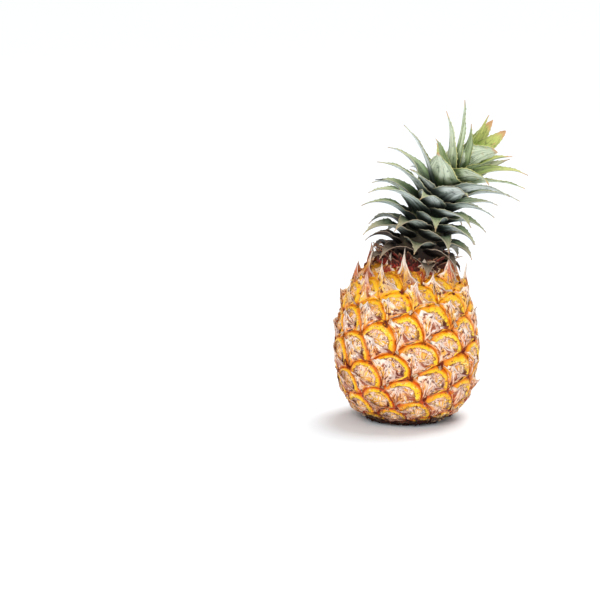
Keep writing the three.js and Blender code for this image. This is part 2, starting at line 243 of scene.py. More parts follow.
def eye_rim(eye):
    """The eye's border in cell coordinates, with a key for each point that its neighbours share."""
    points, keys = [], []
    for side in range(4):
        step_a, place_a = CORNERS[side]
        step_b, place_b = CORNERS[(side + 1) % 4]
        corner_a, corner_b = eye + step_a, eye + step_b
        low, high = sorted((corner_a, corner_b))
        wobble = (luck(5000 + 31 * low + high, 2) - 0.5) * EDGE_STRAY
        for step in range(EDGE_STEPS):
            t = step / EDGE_STEPS
            straight = (1 - t) * np.array(place_a) + t * np.array(place_b)
            pushed = (1 - t) * corner_jitter(corner_a) + t * corner_jitter(corner_b)
            bow = np.array(BOWS[side]) * math.sin(math.pi * t)
            uneven = wobble * math.sin(math.pi * t) ** 2
            points.append(straight + pushed + bow + uneven)
            along = step if corner_a == low else EDGE_STEPS - step
            keys.append((corner_a,) if step == 0 else (low, high, along))
    return np.array(points), keys


def cell_to_skin(eye, cell):
    """Eye number, azimuth, and sideways and upward millimetres from the eye's middle."""
    number = eye + ALONG_UP * cell[..., 0] - ALONG_DOWN * cell[..., 1]
    turn = UP_TURN * cell[..., 0] + DOWN_TURN * cell[..., 1]
    aside = np.radians(turn) * on_profile(profile[:, 0], eye)
    upward = (number - eye) * EYE_RISE * eye_scale(eye)
    return number, eye_azimuth(eye) + turn, aside, upward


def smooth(low, high, value):
    """0 below low and 1 above high, with a soft step between them."""
    t = np.clip((value - low) / (high - low), 0, 1)
    return t * t * (3 - 2 * t)


def arch_share(aside, upward):
    """1 over the top and right of an eye, where the waxy ring is thick, down to 0 at the foot."""
    reach = np.maximum(np.hypot(aside, upward), 1e-6)
    return smooth(-0.6, 0.25, (0.85 * upward + 0.5 * aside) / reach)


def eye_height(eye, rho, arch, wrinkle):
    """How far the skin stands out from the crest line, in millimetres."""
    chance = luck(100 + eye, 4)
    disc = -DISC_DEPTH * (1.1 + 0.5 * chance[0])
    ring = -1.1 * (1 - arch) + 0.3 * (chance[1] - 0.5)
    edge = DISC_EDGE + 0.12 * luck(700 + eye, 2)[1] + 0.12 * wrinkle
    height = disc + (ring - disc) * smooth(edge, edge + RING_SLOPE, rho)
    # A low bump in the middle, wrinkles over the disc, and the fall into the groove.
    height += 0.7 * (0.5 + chance[3]) * (1 - smooth(0.2, 0.5, rho))
    height += wrinkle * smooth(0.05, 0.3, rho) * (1 - 0.7 * smooth(0.5, 0.7, rho))
    from_groove = np.clip((1 - rho) / GROOVE_WIDTH, 0, 1)
    return height - 0.75 * GROOVE_DEPTH * (1 - from_groove) ** 2.2


def relief(height):
    """1 over most of the fruit, and less near its base and its top, where the skin is flatter."""
    return FLATTEST + (1 - FLATTEST) * (smooth(0, 9, height) * (1 - smooth(108, 114, height)))


SECTORS = 4 * EDGE_STEPS
KNOTS = np.abs(np.cos(math.pi * np.arange(SECTORS) / EDGE_STEPS)) ** 3  # 1 at an eye's four corners
FIRST_EYE = math.ceil(profile_number[0]) + HALF_STEP
LAST_EYE = math.floor(profile_number[-1]) - HALF_STEP

skin_points, skin_faces = [], []
shared = {}  # the indices of the points that neighbouring eyes share, by their keys
# Four maps, with a value for each corner of each face: its place in the eye in centimetres, its
# ring with its share of wax, two lucky numbers of the eye, and its knot.
skin_place, skin_form, skin_luck, skin_knot = [], [], [], []


def add_skin_face(corners, chance):
    """A face of the skin. Each corner is its point's index, place, form and knot."""
    indices, places, forms, knots = zip(*corners)
    skin_faces.append(indices)
    skin_place.extend(places)
    skin_form.extend(forms)
    skin_luck.extend([tuple(chance)] * len(corners))
    skin_knot.extend((knot, 0) for knot in knots)


def add_eye_ring(eye, rho, cell, wrinkle, keys):
    """A ring of points round an eye's middle; the outermost one has keys."""
    number, azimuth, aside, upward = cell_to_skin(eye, cell)
    arch = arch_share(aside, upward)
    out = eye_height(eye, rho, arch, wrinkle)
    if keys:
        out = -GROOVE_DEPTH * (GROOVE_SHARE + (1 - GROOVE_SHARE) * KNOTS)
    place, normal, _, _ = skin_frame(number, azimuth)
    where = place + normal * (out * relief(place[:, 2]))[:, None]
    ring = []
    for sector in range(SECTORS):
        index = shared.get(keys[sector]) if keys else None
        if index is None:
            index = len(skin_points)
            skin_points.append(where[sector])
        if keys:
            shared[keys[sector]] = index
        ring.append((index, (aside[sector] / 10, upward[sector] / 10), (rho, arch[sector]), KNOTS[sector]))
    return ring


for eye in range(FIRST_EYE, LAST_EYE + 1):
    rim, keys = eye_rim(eye)
    heading = np.arctan2(rim[:, 1], rim[:, 0])
    circle = ROUND_RADIUS * np.stack([np.cos(heading), np.sin(heading)], -1)
    shift = (luck(300 + eye, 2) - 0.5) * MIDDLE_STRAY
    chance = luck(700 + eye, 2)
    raw = luck(1100 + eye, SECTORS)
    wrinkle = 0.55 * (raw - 0.5) + 0.3 * (np.roll(raw, 1) - 0.5)
    number, azimuth, aside, upward = cell_to_skin(eye, shift)
    place, normal, _, _ = skin_frame(number, azimuth)
    skin_points.append(place + normal * (eye_height(eye, 0.0, 0.5, 0.0) * relief(level(eye))))
    middle = (len(skin_points) - 1, (aside / 10, upward / 10), (0, 0.5), 0)
    rings = []
    for rho in RHO:
        blend = rho**5
        cell = rho * ((1 - blend) * circle + blend * rim) + shift * (1 - rho**2)
        rings.append(add_eye_ring(eye, rho, cell, wrinkle, keys if rho == RHO[-1] else None))
    for sector in range(SECTORS):
        after = (sector + 1) % SECTORS
        add_skin_face([middle, rings[0][after], rings[0][sector]], chance)
    for inner, outer in zip(rings, rings[1:]):
        for sector in range(SECTORS):
            after = (sector + 1) % SECTORS
            add_skin_face([inner[sector], inner[after], outer[after], outer[sector]], chance)


def add_plain_face(indices, turned):
    """A face that belongs to no eye."""
    corners = [(index, (0, -1), (1, 0), 0) for index in indices]
    add_skin_face(corners[::-1] if turned else corners, (0.5, 0.5))


def close_skin(eye, rings):
    """Closes one end of the skin from its zigzag edge, through rings, to a middle point."""
    at_base = rings[0][1] == 0
    edge = []
    corner = eye - HALF_STEP
    for _ in range(ALONG_UP + ALONG_DOWN):
        step = ALONG_UP if corner + ALONG_UP < eye + HALF_STEP else -ALONG_DOWN
        low, high = sorted((corner, corner + step))
        inside = range(1, EDGE_STEPS) if step > 0 else range(EDGE_STEPS - 1, 0, -1)
        edge += [shared[(corner,)]] + [shared[(low, high, along)] for along in inside]
        corner += step
    outer = edge
    for radius, height in rings:
        inner = []
        for index in edge:
            x, y, _ = skin_points[index]
            scale = radius / math.hypot(x, y)
            skin_points.append(np.array([x * scale, y * scale, height]))
            inner.append(len(skin_points) - 1)
        for spot in range(len(edge)):
            after = (spot + 1) % len(edge)
            add_plain_face((outer[spot], outer[after], inner[after], inner[spot]), turned=at_base)
        outer = inner
    skin_points.append(np.array([0, 0, rings[-1][1]]))
    for spot in range(len(edge)):
        after = (spot + 1) % len(edge)
        add_plain_face((outer[spot], outer[after], len(skin_points) - 1), turned=at_base)


close_skin(FIRST_EYE, [(SOCKET_RADIUS + SOCKET_FLARE, 0), (SOCKET_RADIUS, SOCKET_FLARE_TOP),
                       (SOCKET_RADIUS, SOCKET_DEPTH)])
close_skin(LAST_EYE + 1, [(SEAT_RADIUS, FRUIT_TOP)])

skin_points = np.array(skin_points)
skin_points[:, 2] = np.clip(skin_points[:, 2], 0, FRUIT_TOP)


def mesh_piece(name, points, faces, corner_maps):
    """A new object from points in millimetres, with one UV map for each corner map."""
    mesh = bpy.data.meshes.new(name)
    mesh.from_pydata((np.asarray(points) * MM).tolist(), [], faces)
    for map_name, values in corner_maps.items():
        layer = mesh.uv_layers.new(name=map_name)
        layer.data.foreach_set("uv", np.asarray(values, float).ravel())
    mesh.update()
    made = bpy.data.objects.new(name, mesh)
    bpy.context.scene.collection.objects.link(made)
    for polygon in mesh.polygons:
        polygon.use_smooth = True
    return made


fruit_skin = mesh_piece("fruit_skin", skin_points, skin_faces,
                        {"eye_place": skin_place, "eye_form": skin_form, "eye_luck": skin_luck,
                         "eye_knot": skin_knot})


class Signal:
    """One socket's value in a material, so that shader maths reads as plain arithmetic."""

    def __init__(self, finish, socket):
        self.finish, self.socket = finish, socket

    def maths(self, operation, *values):
        inputs = dict(enumerate(values))
        return self.finish.node("Math", {"operation": operation}, inputs)

    def __add__(self, other):
        return self.maths("ADD", self, other)

    def __radd__(self, other):
        return self.maths("ADD", other, self)

    def __sub__(self, other):
        return self.maths("SUBTRACT", self, other)

    def __rsub__(self, other):
        return self.maths("SUBTRACT", other, self)

    def __mul__(self, other):
        return self.maths("MULTIPLY", self, other)

    def __rmul__(self, other):
        return self.maths("MULTIPLY", other, self)

    def __abs__(self):
        return self.maths("ABSOLUTE", self)

    def step(self, low, high):
        """0 below low and 1 above high, with a soft step between them."""
        if low > high:
            return 1 - self.step(high, low)
        sockets = {"Value": self, "From Min": low, "From Max": high}
        return self.finish.node("MapRange", {"interpolation_type": "SMOOTHSTEP"}, sockets)


class Finish:
    """A material under construction. Every node is made by its one node method."""

    def __init__(self, name):
        self.material = bpy.data.materials.new(name)
        self.material.use_nodes = True
        self.tree = self.material.node_tree
        self.shader = self.tree.nodes["Principled BSDF"]

    def node(self, kind, settings, sockets, output=0):
        made = self.tree.nodes.new("ShaderNode" + kind)
        for name, value in settings.items():
            setattr(made, name, value)
        for name, value in sockets.items():
            self.feed(made.inputs[name], value)
        return Signal(self, made.outputs[output])

    def feed(self, socket, value):
        if isinstance(value, Signal):
            self.tree.links.new(value.socket, socket)
        else:
            socket.default_value = value

    def set(self, **sockets):
        for name, value in sockets.items():
            self.feed(self.shader.inputs[name.replace("_", " ")], value)

    def mix(self, share, first, second):
        """A colour between two others."""
        return self.node("Mix", {"data_type": "RGBA"}, {0: share, 6: first, 7: second}, output=2)

    def parts(self, vector):
        return [self.node("SeparateXYZ", {}, {0: vector}, output=axis) for axis in range(3)]

    def vector(self, x, y, z):
        return self.node("CombineXYZ", {}, {0: x, 1: y, 2: z})

    def noise(self, where, scale, detail=2.0, roughness=0.5):
        return self.node("TexNoise", {}, {"Vector": where, "Scale": scale, "Detail": detail,
                                          "Roughness": roughness})

    def bump(self, height, distance):
        return self.node("Bump", {}, {"Height": height, "Distance": distance * MM})


def paint(code):
    """A colour from its six-digit screen code, as the linear light values that shaders use."""
    channels = [int(code[at:at + 2], 16) / 255 for at in (0, 2, 4)]
    linear = [c / 12.92 if c <= 0.04045 else ((c + 0.055) / 1.055) ** 2.4 for c in channels]
    return (*linear, 1.0)


def skin_finish():
    f = Finish("fruit_skin_finish")
    place = f.node("UVMap", {"uv_map": "eye_place"}, {})
    rho, arch, _ = f.parts(f.node("UVMap", {"uv_map": "eye_form"}, {}))
    luck_a, luck_b, _ = f.parts(f.node("UVMap", {"uv_map": "eye_luck"}, {}))
    spot = f.node("TexCoord", {}, {}, output="Object")
    _, _, height = f.parts(spot)
    reach = f.node("VectorMath", {"operation": "LENGTH"}, {0: place}, output="Value")
    heading = f.node("VectorMath", {"operation": "NORMALIZE"}, {0: place})
    head_x, head_y, _ = f.parts(heading)

    # Patches, specks and pores, then crooked streaks that run out from the middle of each eye.
    shifted = f.vector(*[part + luck_a * 11 for part in f.parts(place)])
    patch = f.noise(shifted, 3.2, 3, 0.6)
    speck = f.noise(shifted, 6.5, 2, 0.6)
    pore = f.noise(shifted, 34, 2, 0.6)
    outward = f.vector(head_x * 2.6 + luck_a * 37, head_y * 2.6 + luck_b * 29, reach * 1.3)
    broad = f.noise(outward, 1, 3, 0.6)
    bent_x = head_x + (patch - 0.5) * 1.8
    bent_y = head_y + (speck - 0.5) * 1.4
    outward = f.vector(bent_x * 3 + luck_b * 41, bent_y * 3 + luck_a * 23, reach * 1.4)
    fine = f.noise(outward, 1, 2, 0.6)
    outward = f.vector(bent_x * 4.4 + luck_a * 53, bent_y * 4.4 + luck_b * 47, reach * 2)
    mark = f.noise(outward, 1, 1, 0.5)

    # The papery disc: flesh pink with cream streaks and a yellow middle.
    middle = (rho + (patch - 0.5) * 0.5).step(0.5, 0.25) * luck_b.step(0.0, 0.4)
    disc = f.mix(broad.step(0.42, 0.6), paint("ecb08c"), paint("f8d8c8"))
    disc = f.mix(middle * 0.9, disc, paint("fccc3c"))
    disc = f.mix((patch + (luck_a - 0.5) * 0.08).step(0.5, 0.56) * 0.85, disc, paint("fcc83c"))
    disc = f.mix(fine.step(0.53, 0.6) * 0.8, disc, paint("fff0e4"))
    disc = f.mix(speck.step(0.6, 0.68) * 0.7, disc, paint("fff4ea"))
    disc = f.mix(fine.step(0.42, 0.37) * 0.7, disc, paint("c86820"))
    disc = f.mix(mark.step(0.43, 0.38) * rho.step(0.25, 0.45) * 0.95, disc, paint("642008"))
    disc = f.mix(speck.step(0.37, 0.33) * 0.9, disc, paint("541c0a"))

    # The waxy ring: orange, with a painted highlight that makes its upper right yellow; and the pink foot
    # below it.
    painted_highlight_side = (head_x * 0.75 + head_y * 0.45).step(-0.5, 0.45)
    ring = f.mix(painted_highlight_side, paint("f49a18"), paint("ffc414"))
    ring = f.mix((rho + (broad - 0.5) * 0.2).step(0.86, 0.8) * 0.75, ring, paint("ffdc38"))
    ring = f.mix(patch.step(0.48, 0.34) * 0.8, ring, paint("dc7408"))
    ring = f.mix(fine.step(0.57, 0.66) * 0.6, ring, paint("ffecb4"))
    ring = f.mix(fine.step(0.4, 0.33) * 0.5, ring, paint("b45c10"))
    ring = f.mix(speck.step(0.38, 0.32) * 0.8, ring, paint("7a300c"))
    ring = f.mix((rho + (broad - 0.5) * 0.08).step(0.88, 0.95) * 0.9, ring, paint("e8860c"))
    foot = f.mix(broad.step(0.4, 0.65), paint("e07a18"), paint("f2ac66"))
    rim = f.mix(arch.step(0.1, 0.5), foot, ring)

    # The ring meets the disc in a broken brown line, and a painted shade darkens the hollow under its lower
    # right.
    uneven = rho + (broad - 0.5) * 0.3 + (fine - 0.5) * 0.24 - (luck_b - 0.5) * 0.1
    inside = uneven.step(0.75, 0.79)
    colour = f.mix(inside, disc, rim)
    outline = uneven.step(0.71, 0.75) * uneven.step(0.8, 0.77)
    colour = f.mix(outline * patch.step(0.4, 0.55) * 0.85, colour, paint("9a4408"))
    hollow = rho + (speck - 0.5) * 0.14
    # Painted shade: a dark crescent in the hollow under the ring's lower right.
    under = (head_x * 0.75 - head_y * 0.66).step(0.4, 0.8) * hollow.step(0.6, 0.66)
    under = under * hollow.step(0.8, 0.75)
    colour = f.mix(under * luck_a.step(0.0, 0.4) * 0.95, colour, paint("561604"))
    # The grooves: orange brown, with a dark knot where four eyes meet.
    groove = f.mix(patch.step(0.4, 0.54), paint("942404"), paint("d86804"))
    colour = f.mix((rho + (broad - 0.5) * 0.16).step(0.93, 1.0) * 0.85, colour, groove)
    knot, _, _ = f.parts(f.node("UVMap", {"uv_map": "eye_knot"}, {}))
    dark = (knot * rho + (speck - 0.5) * 0.5).step(0.86, 0.99)
    colour = f.mix(dark * luck_b.step(0.0, 0.5) * 0.9, colour, paint("3c0c04"))
    # Redder towards the crown, and brown and dry round the base, where painted shade adds dark strokes and
    # a near-black band at the bottom.
    golden = height.step(0.08, 0.1) * patch.step(0.4, 0.5)
    colour = f.mix(golden * 0.8, colour, paint("ffc424"))
    crimson = (height + (patch - 0.5) * 0.024).step(0.103, 0.114) * (1 - speck.step(0.46, 0.56) * 0.8)
    ruddy = f.mix(broad.step(0.4, 0.6), paint("7a1c10"), paint("d4561a"))
    colour = f.mix(crimson * 0.85, colour, ruddy)
    low = (height + (patch - 0.5) * 0.02).step(0.04, 0.012)
    flesh = f.mix(broad.step(0.42, 0.58), paint("e8905c"), paint("fad8bc"))
    flesh = f.mix(speck.step(0.47, 0.41) * 0.95, flesh, paint("941a08"))
    fleshy = (rho + (broad - 0.5) * 0.2 - arch * 0.1).step(0.84, 0.88) * low * patch.step(0.6, 0.5)
    colour = f.mix(fleshy * 0.95, colour, flesh)
    line = (rho + (speck - 0.5) * 0.1).step(0.93, 0.975)
    line = line * (height + (patch - 0.5) * 0.05).step(0.07, 0.025)
    red = f.mix(patch.step(0.42, 0.54), paint("741206"), paint("d8480c"))
    colour = f.mix(line * 0.8, colour, red)
    # Painted shade: dark strokes low on the fruit.
    shade = (height + (patch - 0.5) * 0.012).step(0.026, 0.01)
    shade = shade * (mark + (speck - 0.5) * 0.3).step(0.46, 0.41)
    colour = f.mix(shade * 0.85, colour, paint("3c0e06"))
    # The bottom band: dry skin, painted near black as painted shade as well.
    dry = (height + (patch - 0.5) * 0.01).step(0.0095, 0.005)
    scar = f.noise(spot, 420, 4, 0.7)
    dry_and_shaded = f.mix(scar.step(0.42, 0.64), paint("140403"), paint("6c1c0c"))
    colour = f.mix(dry * 0.9, colour, dry_and_shaded)
    woody = f.mix(scar.step(0.4, 0.6), paint("34160c"), paint("8c5c3a"))
    colour = f.mix(height.step(0.0011, 0.0004) * 0.8, colour, woody)

    grain = broad * 0.5 + fine * 0.3 + speck * 0.3 + scar * dry
    f.set(Base_Color=colour, Roughness=0.65 - inside * arch * 0.22,
          Normal=f.bump(grain * (1 - inside * 0.85) + pore * 0.12, 0.5), Specular_IOR_Level=0.28)
    return f.material


fruit_skin.data.materials.append(skin_finish())
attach(fruit_skin, BODY)
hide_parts("fruit")


# ---------------------------------------------------------------------------------------------
# Bracts. Under each eye grew one small leaf that has dried: a fleshy pink foot in the groove, and
# a papery ribbed tip that lies over the lower left of the eye and lifts off at the point.

BRACT_COLUMNS = 14
BRACT_ROWS = 9
ROW_SPACING = 1.35  # the power that sets the rows of facets closer together near the foot
OUTERMOST_RHO = 1.3  # as far past an eye's border as a dry leaf reaches
RHO_HALVINGS = 20
BRACT_THICKNESS = 0.5
BRACT_RIBS = 5
LOWEST_FLAT = 0.1  # how near the floor a dry leaf comes before it has a thickness
FLOOR_GAP = 0.05  # and afterwards


def skin_rho(eye, cell):
    """Where a point lies between an eye's middle (0) and its border (1)."""
    rim, _ = eye_rim(eye)
    heading = np.arctan2(rim[:, 1], rim[:, 0])
    order = np.argsort(heading)
    toward = np.arctan2(cell[..., 1], cell[..., 0])
    border = np.interp(toward, heading[order], np.hypot(rim[:, 0], rim[:, 1])[order], period=2 * math.pi)
    reach = np.hypot(cell[..., 0], cell[..., 1])
    low, high = np.zeros_like(reach), np.full_like(reach, OUTERMOST_RHO)
    for _ in range(RHO_HALVINGS):  # of the gap between a place too near and one too far out
        rho = (low + high) / 2
        blend = np.minimum(rho, 1) ** 5
        far = rho * ((1 - blend) * ROUND_RADIUS + blend * border) > reach
        high, low = np.where(far, rho, high), np.where(far, low, rho)
    return rho


def cell_from_mm(eye, aside, upward):
    """Cell coordinates of a point given in millimetres from an eye's middle."""
    turn = math.degrees(aside / float(on_profile(profile[:, 0], eye)))
    number = upward / (EYE_RISE * eye_scale(eye))
    spread = ALONG_UP * DOWN_TURN + ALONG_DOWN * UP_TURN
    return np.array([(DOWN_TURN * number + ALONG_DOWN * turn) / spread,
                     (ALONG_UP * turn - UP_TURN * number) / spread])


def active_piece(name):
    made = bpy.context.active_object
    made.name = made.data.name = name
    return made


def add_grid(name, columns, rows):
    """A flat grid, and each of its points' place across it (-1 to 1) and along it (0 to 1)."""
    bpy.ops.object.select_all(action="DESELECT")
    bpy.ops.mesh.primitive_grid_add(x_subdivisions=columns, y_subdivisions=rows, size=1)
    made = active_piece(name)
    flat = np.empty(len(made.data.vertices) * 3)
    made.data.vertices.foreach_get("co", flat)
    flat = flat.reshape(-1, 3)
    return made, 2 * flat[:, 0], flat[:, 1] + 0.5


def shape(piece, points):
    piece.data.vertices.foreach_set("co", (np.asarray(points) * MM).ravel())
    piece.data.update()


def add_luck_map(piece, first, second):
    """A UV map that holds the same two numbers all over a piece."""
    layer = piece.data.uv_layers.new(name="luck")
    layer.data.foreach_set("uv", np.tile([first, second], len(piece.data.loops)))


def thicken(piece, thickness, weights, offset, thin=0.2, second_side=False):
    """Gives a surface two sides and an edge. Where the weights are 0 it is thin, as a share."""
    group = piece.vertex_groups.new(name="body")
    for index, weight in enumerate(weights):
        group.add([index], float(weight), "REPLACE")
    wall = piece.modifiers.new("wall", "SOLIDIFY")
    wall.thickness = thickness * MM
    wall.offset = offset
    wall.vertex_group = "body"
    wall.thickness_vertex_group = thin
    wall.material_offset = 1 if second_side else 0
    bpy.context.view_layer.objects.active = piece
    bpy.ops.object.modifier_apply(modifier="wall")
    piece.vertex_groups.clear()


def join_pieces(name, pieces):
    """One smooth piece from many."""
    bpy.ops.object.select_all(action="DESELECT")
    for piece in pieces:
        piece.select_set(True)
    bpy.context.view_layer.objects.active = pieces[0]
    bpy.ops.object.join()
    joined = active_piece(name)
    bpy.ops.object.shade_smooth()
    return joined


def lift_off_floor(piece):
    for vertex in piece.data.vertices:
        vertex.co.z = max(vertex.co.z, FLOOR_GAP * MM)


def bract_foot(eye, u):
    """Points along the foot of an eye's bract: its lower border, left corner to right corner."""
    rim, _ = eye_rim(eye)
    lower = np.vstack([rim[2 * EDGE_STEPS:], rim[:1]])[::-1]
    place = (0.01 + 0.98 * (u + 1) / 2) * (len(lower) - 1)
    return np.stack([np.interp(place, range(len(lower)), lower[:, axis]) for axis in range(2)], -1)


bracts = []
for eye in range(FIRST_EYE, LAST_EYE + 1):
    chance = luck(2000 + eye, 8)
    height, scale = level(eye), eye_scale(eye)
    # The tip stands further out and up on the shoulder of the fruit, and lies flat at its base.
    top = float(smooth(70, 108, height))
    base = float(smooth(2, 22, height))
    tip_aside = (-2 + (7 + 5 * top) * (chance[0] - 0.5)) * scale
    tip_up = (2.5 + 7.5 * chance[1] ** 1.3 + 6 * top * (0.2 + chance[5])) * (0.6 + 0.4 * base) * scale
    lift = (1.0 + 4.6 * chance[2] ** 1.5 + 4 * top * (0.2 + chance[6])) * (0.25 + 0.75 * base)
    bract, u, v = add_grid("bract", BRACT_COLUMNS, BRACT_ROWS)
    row = np.rint(v * BRACT_ROWS).astype(int)
    v = v**ROW_SPACING
    tip = cell_from_mm(eye, tip_aside, tip_up)
    foot = bract_foot(eye, u)
    centre_foot = bract_foot(eye, np.full_like(u, -0.12 + 0.3 * (chance[3] - 0.5)))
    narrow = (1 - v) ** np.where(u < 0, 0.9 + 0.5 * chance[4], 1.15 + 0.9 * chance[6])
    ragged = luck(2400 + eye, BRACT_ROWS + 1, 2)[row, (u > 0) * 1]
    narrow = narrow * (1 + 0.35 * (ragged - 0.5) * smooth(0.5, 1, np.abs(u)) * smooth(0.02, 0.2, v))
    inward = v[:, None] ** 0.85
    cell = centre_foot * (1 - inward) + tip * inward + (foot - centre_foot) * narrow[:, None]
    # It follows the skin below it with some clearance, ribbed, curled up at its tip and corners.
    rho = skin_rho(eye, cell)
    number, azimuth, aside, upward = cell_to_skin(eye, cell)
    under = eye_height(eye, np.minimum(rho, 1), arch_share(aside, upward), 0.0)
    under = np.where(rho > 1, -0.6, under)
    clear = 0.25 + 0.85 * np.sin(math.pi * np.minimum((v + 0.1) / 0.85, 1)) * (1 - 0.8 * u**2)
    rib = 0.3 * np.cos(u * math.pi * BRACT_RIBS + 6 * chance[7])
    rib = rib * np.sin(math.pi * np.minimum(v * 1.3 + 0.1, 1))
    curl = lift * v**1.6 + 0.5 * (1 - v) * smooth(0.55, 1, np.abs(u)) * smooth(0.1, 0.3, v)
    rise = smooth(0, 0.06, v)
    out = (-GROOVE_DEPTH - 0.1) * (1 - rise) + (under + clear + rib) * rise + curl
    place, normal, _, _ = skin_frame(number, azimuth)
    lean_up = np.array([0, 0, 1.0]) * (1.0 * top * v**2 * lift)[:, None]
    where = place + normal * (out * (FLATTEST + (1 - FLATTEST) * base))[:, None] + lean_up
    where[:, 2] = np.maximum(where[:, 2], LOWEST_FLAT)
    shape(bract, where)
    add_luck_map(bract, chance[5], height / FRUIT_TOP)
    thicken(bract, BRACT_THICKNESS, (1 - v) * (1 - 0.8 * u**2), offset=-1)
    bracts.append(bract)

eye_bracts = join_pieces("eye_bracts", bracts)
lift_off_floor(eye_bracts)


def bract_finish():
    f = Finish("bract_finish")
    u, v, _ = f.parts(f.node("UVMap", {"uv_map": "UVMap"}, {}))
    chance, height, _ = f.parts(f.node("UVMap", {"uv_map": "luck"}, {}))
    ribs = f.noise(f.vector(u * 13 + chance * 60, v * 1.4, chance * 31), 1, 3, 0.6)
    wide = f.noise(f.vector(u * 4 + chance * 17, v * 1.8, chance * 13), 1, 3, 0.6)
    speck = f.noise(f.vector(u * 8 + chance * 40, v * 6, chance * 19), 1, 2, 0.6)
    edge = abs(u - 0.5).step(0.36, 0.49)

    # Ribbed flesh pink, paler to the tip, with golden patches and more yellow to the crown.
    colour = f.mix(ribs.step(0.43, 0.57), paint("dc9464"), paint("f6cfb2"))
    colour = f.mix((v + (wide - 0.5) * 0.9).step(0.45, 0.75) * 0.7, colour, paint("ffeee2"))
    colour = f.mix(wide.step(0.49, 0.4) * v.step(0.85, 0.5) * 0.85, colour, paint("f4ac2c"))
    yellow = height.step(0.68, 0.84) * (speck + (wide - 0.5) * 0.6).step(0.4, 0.5) * v.step(0.75, 0.45)
    colour = f.mix(yellow * 0.9, colour, paint("ffc828"))
    shaded = (u + (wide - 0.5) * 0.4).step(0.6, 0.8) * v.step(0.05, 0.2) * v.step(0.6, 0.4)
    colour = f.mix(shaded * 0.6, colour, paint("bca098"))
    # Dark gaps between the ribs, specks, an orange foot, a dark right edge on some that is partly its own
    # colour and partly a painted shadow under the lifted edge, and a pale left edge.
    gaps = ribs.step(0.45, 0.39) * v.step(0.03, 0.2) * v.step(0.9, 0.6)
    colour = f.mix(gaps * 0.85, colour, paint("9c4010"))
    colour = f.mix(speck.step(0.44, 0.4) * 0.92, colour, paint("5c1a06"))
    colour = f.mix(speck.step(0.59, 0.66) * 0.7, colour, paint("fffaf0"))
    foot = (v + (wide - 0.5) * 0.4 - edge * 0.12).step(0.22, 0.05)
    colour = f.mix(foot * 0.85, colour, paint("ee8c20"))
    rooted = f.mix(wide.step(0.42, 0.52), paint("a42c08"), paint("dc7c1c"))
    colour = f.mix(v.step(0.07, 0.0) * 0.8, colour, rooted)
    # The dark right edge: partly its own colour, partly a painted shadow where the edge lifts off the eye.
    lip_and_shadow = (u + (ribs - 0.5) * 0.1).step(0.86, 0.94) * v.step(0.5, 0.3) * chance.step(0.2, 0.5)
    colour = f.mix(lip_and_shadow * 0.9, colour, paint("7a1e06"))
    colour = f.mix(u.step(0.12, 0.03) * v.step(0.1, 0.4) * 0.8, colour, paint("fff4e0"))
    colour = f.mix((v + (wide - 0.5) * 0.5 - chance * 0.3).step(0.8, 0.9) * 0.7, colour, paint("c08454"))
    # Near the crown: red feet, pale edges and tips, and pink between the ribs.
    red = (height + (speck - 0.5) * 0.2).step(0.9, 1.0) * v.step(0.7, 0.3)
    colour = f.mix(red, colour, paint("9c2a14"))
    pale = height.step(0.75, 0.9) * (edge + v.step(0.6, 0.9)) * ribs.step(0.4, 0.5)
    colour = f.mix(pale * 0.8, colour, paint("fff0dc"))
    pink = height.step(0.78, 0.92) * (ribs + (chance - 0.5) * 0.3).step(0.47, 0.42) * v.step(0.3, 0.5)
    colour = f.mix(pink * 0.8, colour, paint("d06848"))
    # Towards the base: warmer, redder at the foot and between the ribs, and black at the bottom, partly dry
    # and partly painted shade.
    low = (height + (wide - 0.5) * 0.1).step(0.34, 0.1)
    warm = f.mix(wide.step(0.44, 0.56), paint("e88c4c"), paint("f8c8a4"))
    colour = f.mix(low * 0.6, colour, warm)
    foot = (v + (wide - 0.5) * 0.6 - edge * 0.1).step(0.24, 0.06)
    colour = f.mix(foot * low * 0.85, colour, paint("b8280c"))
    colour = f.mix(ribs.step(0.48, 0.43) * low * 0.85, colour, paint("7c1608"))
    # Painted shade with dry tissue: near black at the bottom of the fruit.
    colour = f.mix((height + (wide - 0.5) * 0.06).step(0.075, 0.04) * 0.92, colour, paint("200604"))
    f.set(Base_Color=colour, Roughness=0.6, Normal=f.bump(ribs + speck * 0.6, 0.8), Specular_IOR_Level=0.3)
    return f.material


eye_bracts.data.materials.append(bract_finish())
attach(eye_bracts, BODY)
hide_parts("fruit")


# ---------------------------------------------------------------------------------------------
# Sepals. Three small dry flaps close over the middle of each eye, where the flower was. They are
# thin and ribbed, and lie just above the skin of the disc that they grew from.

SEPAL_FACETS = 4  # each way
SEPAL_THICKNESS = 0.3
SEPAL_HEIGHTS = (6, 112)  # the lowest and the highest eye that keeps its sepals

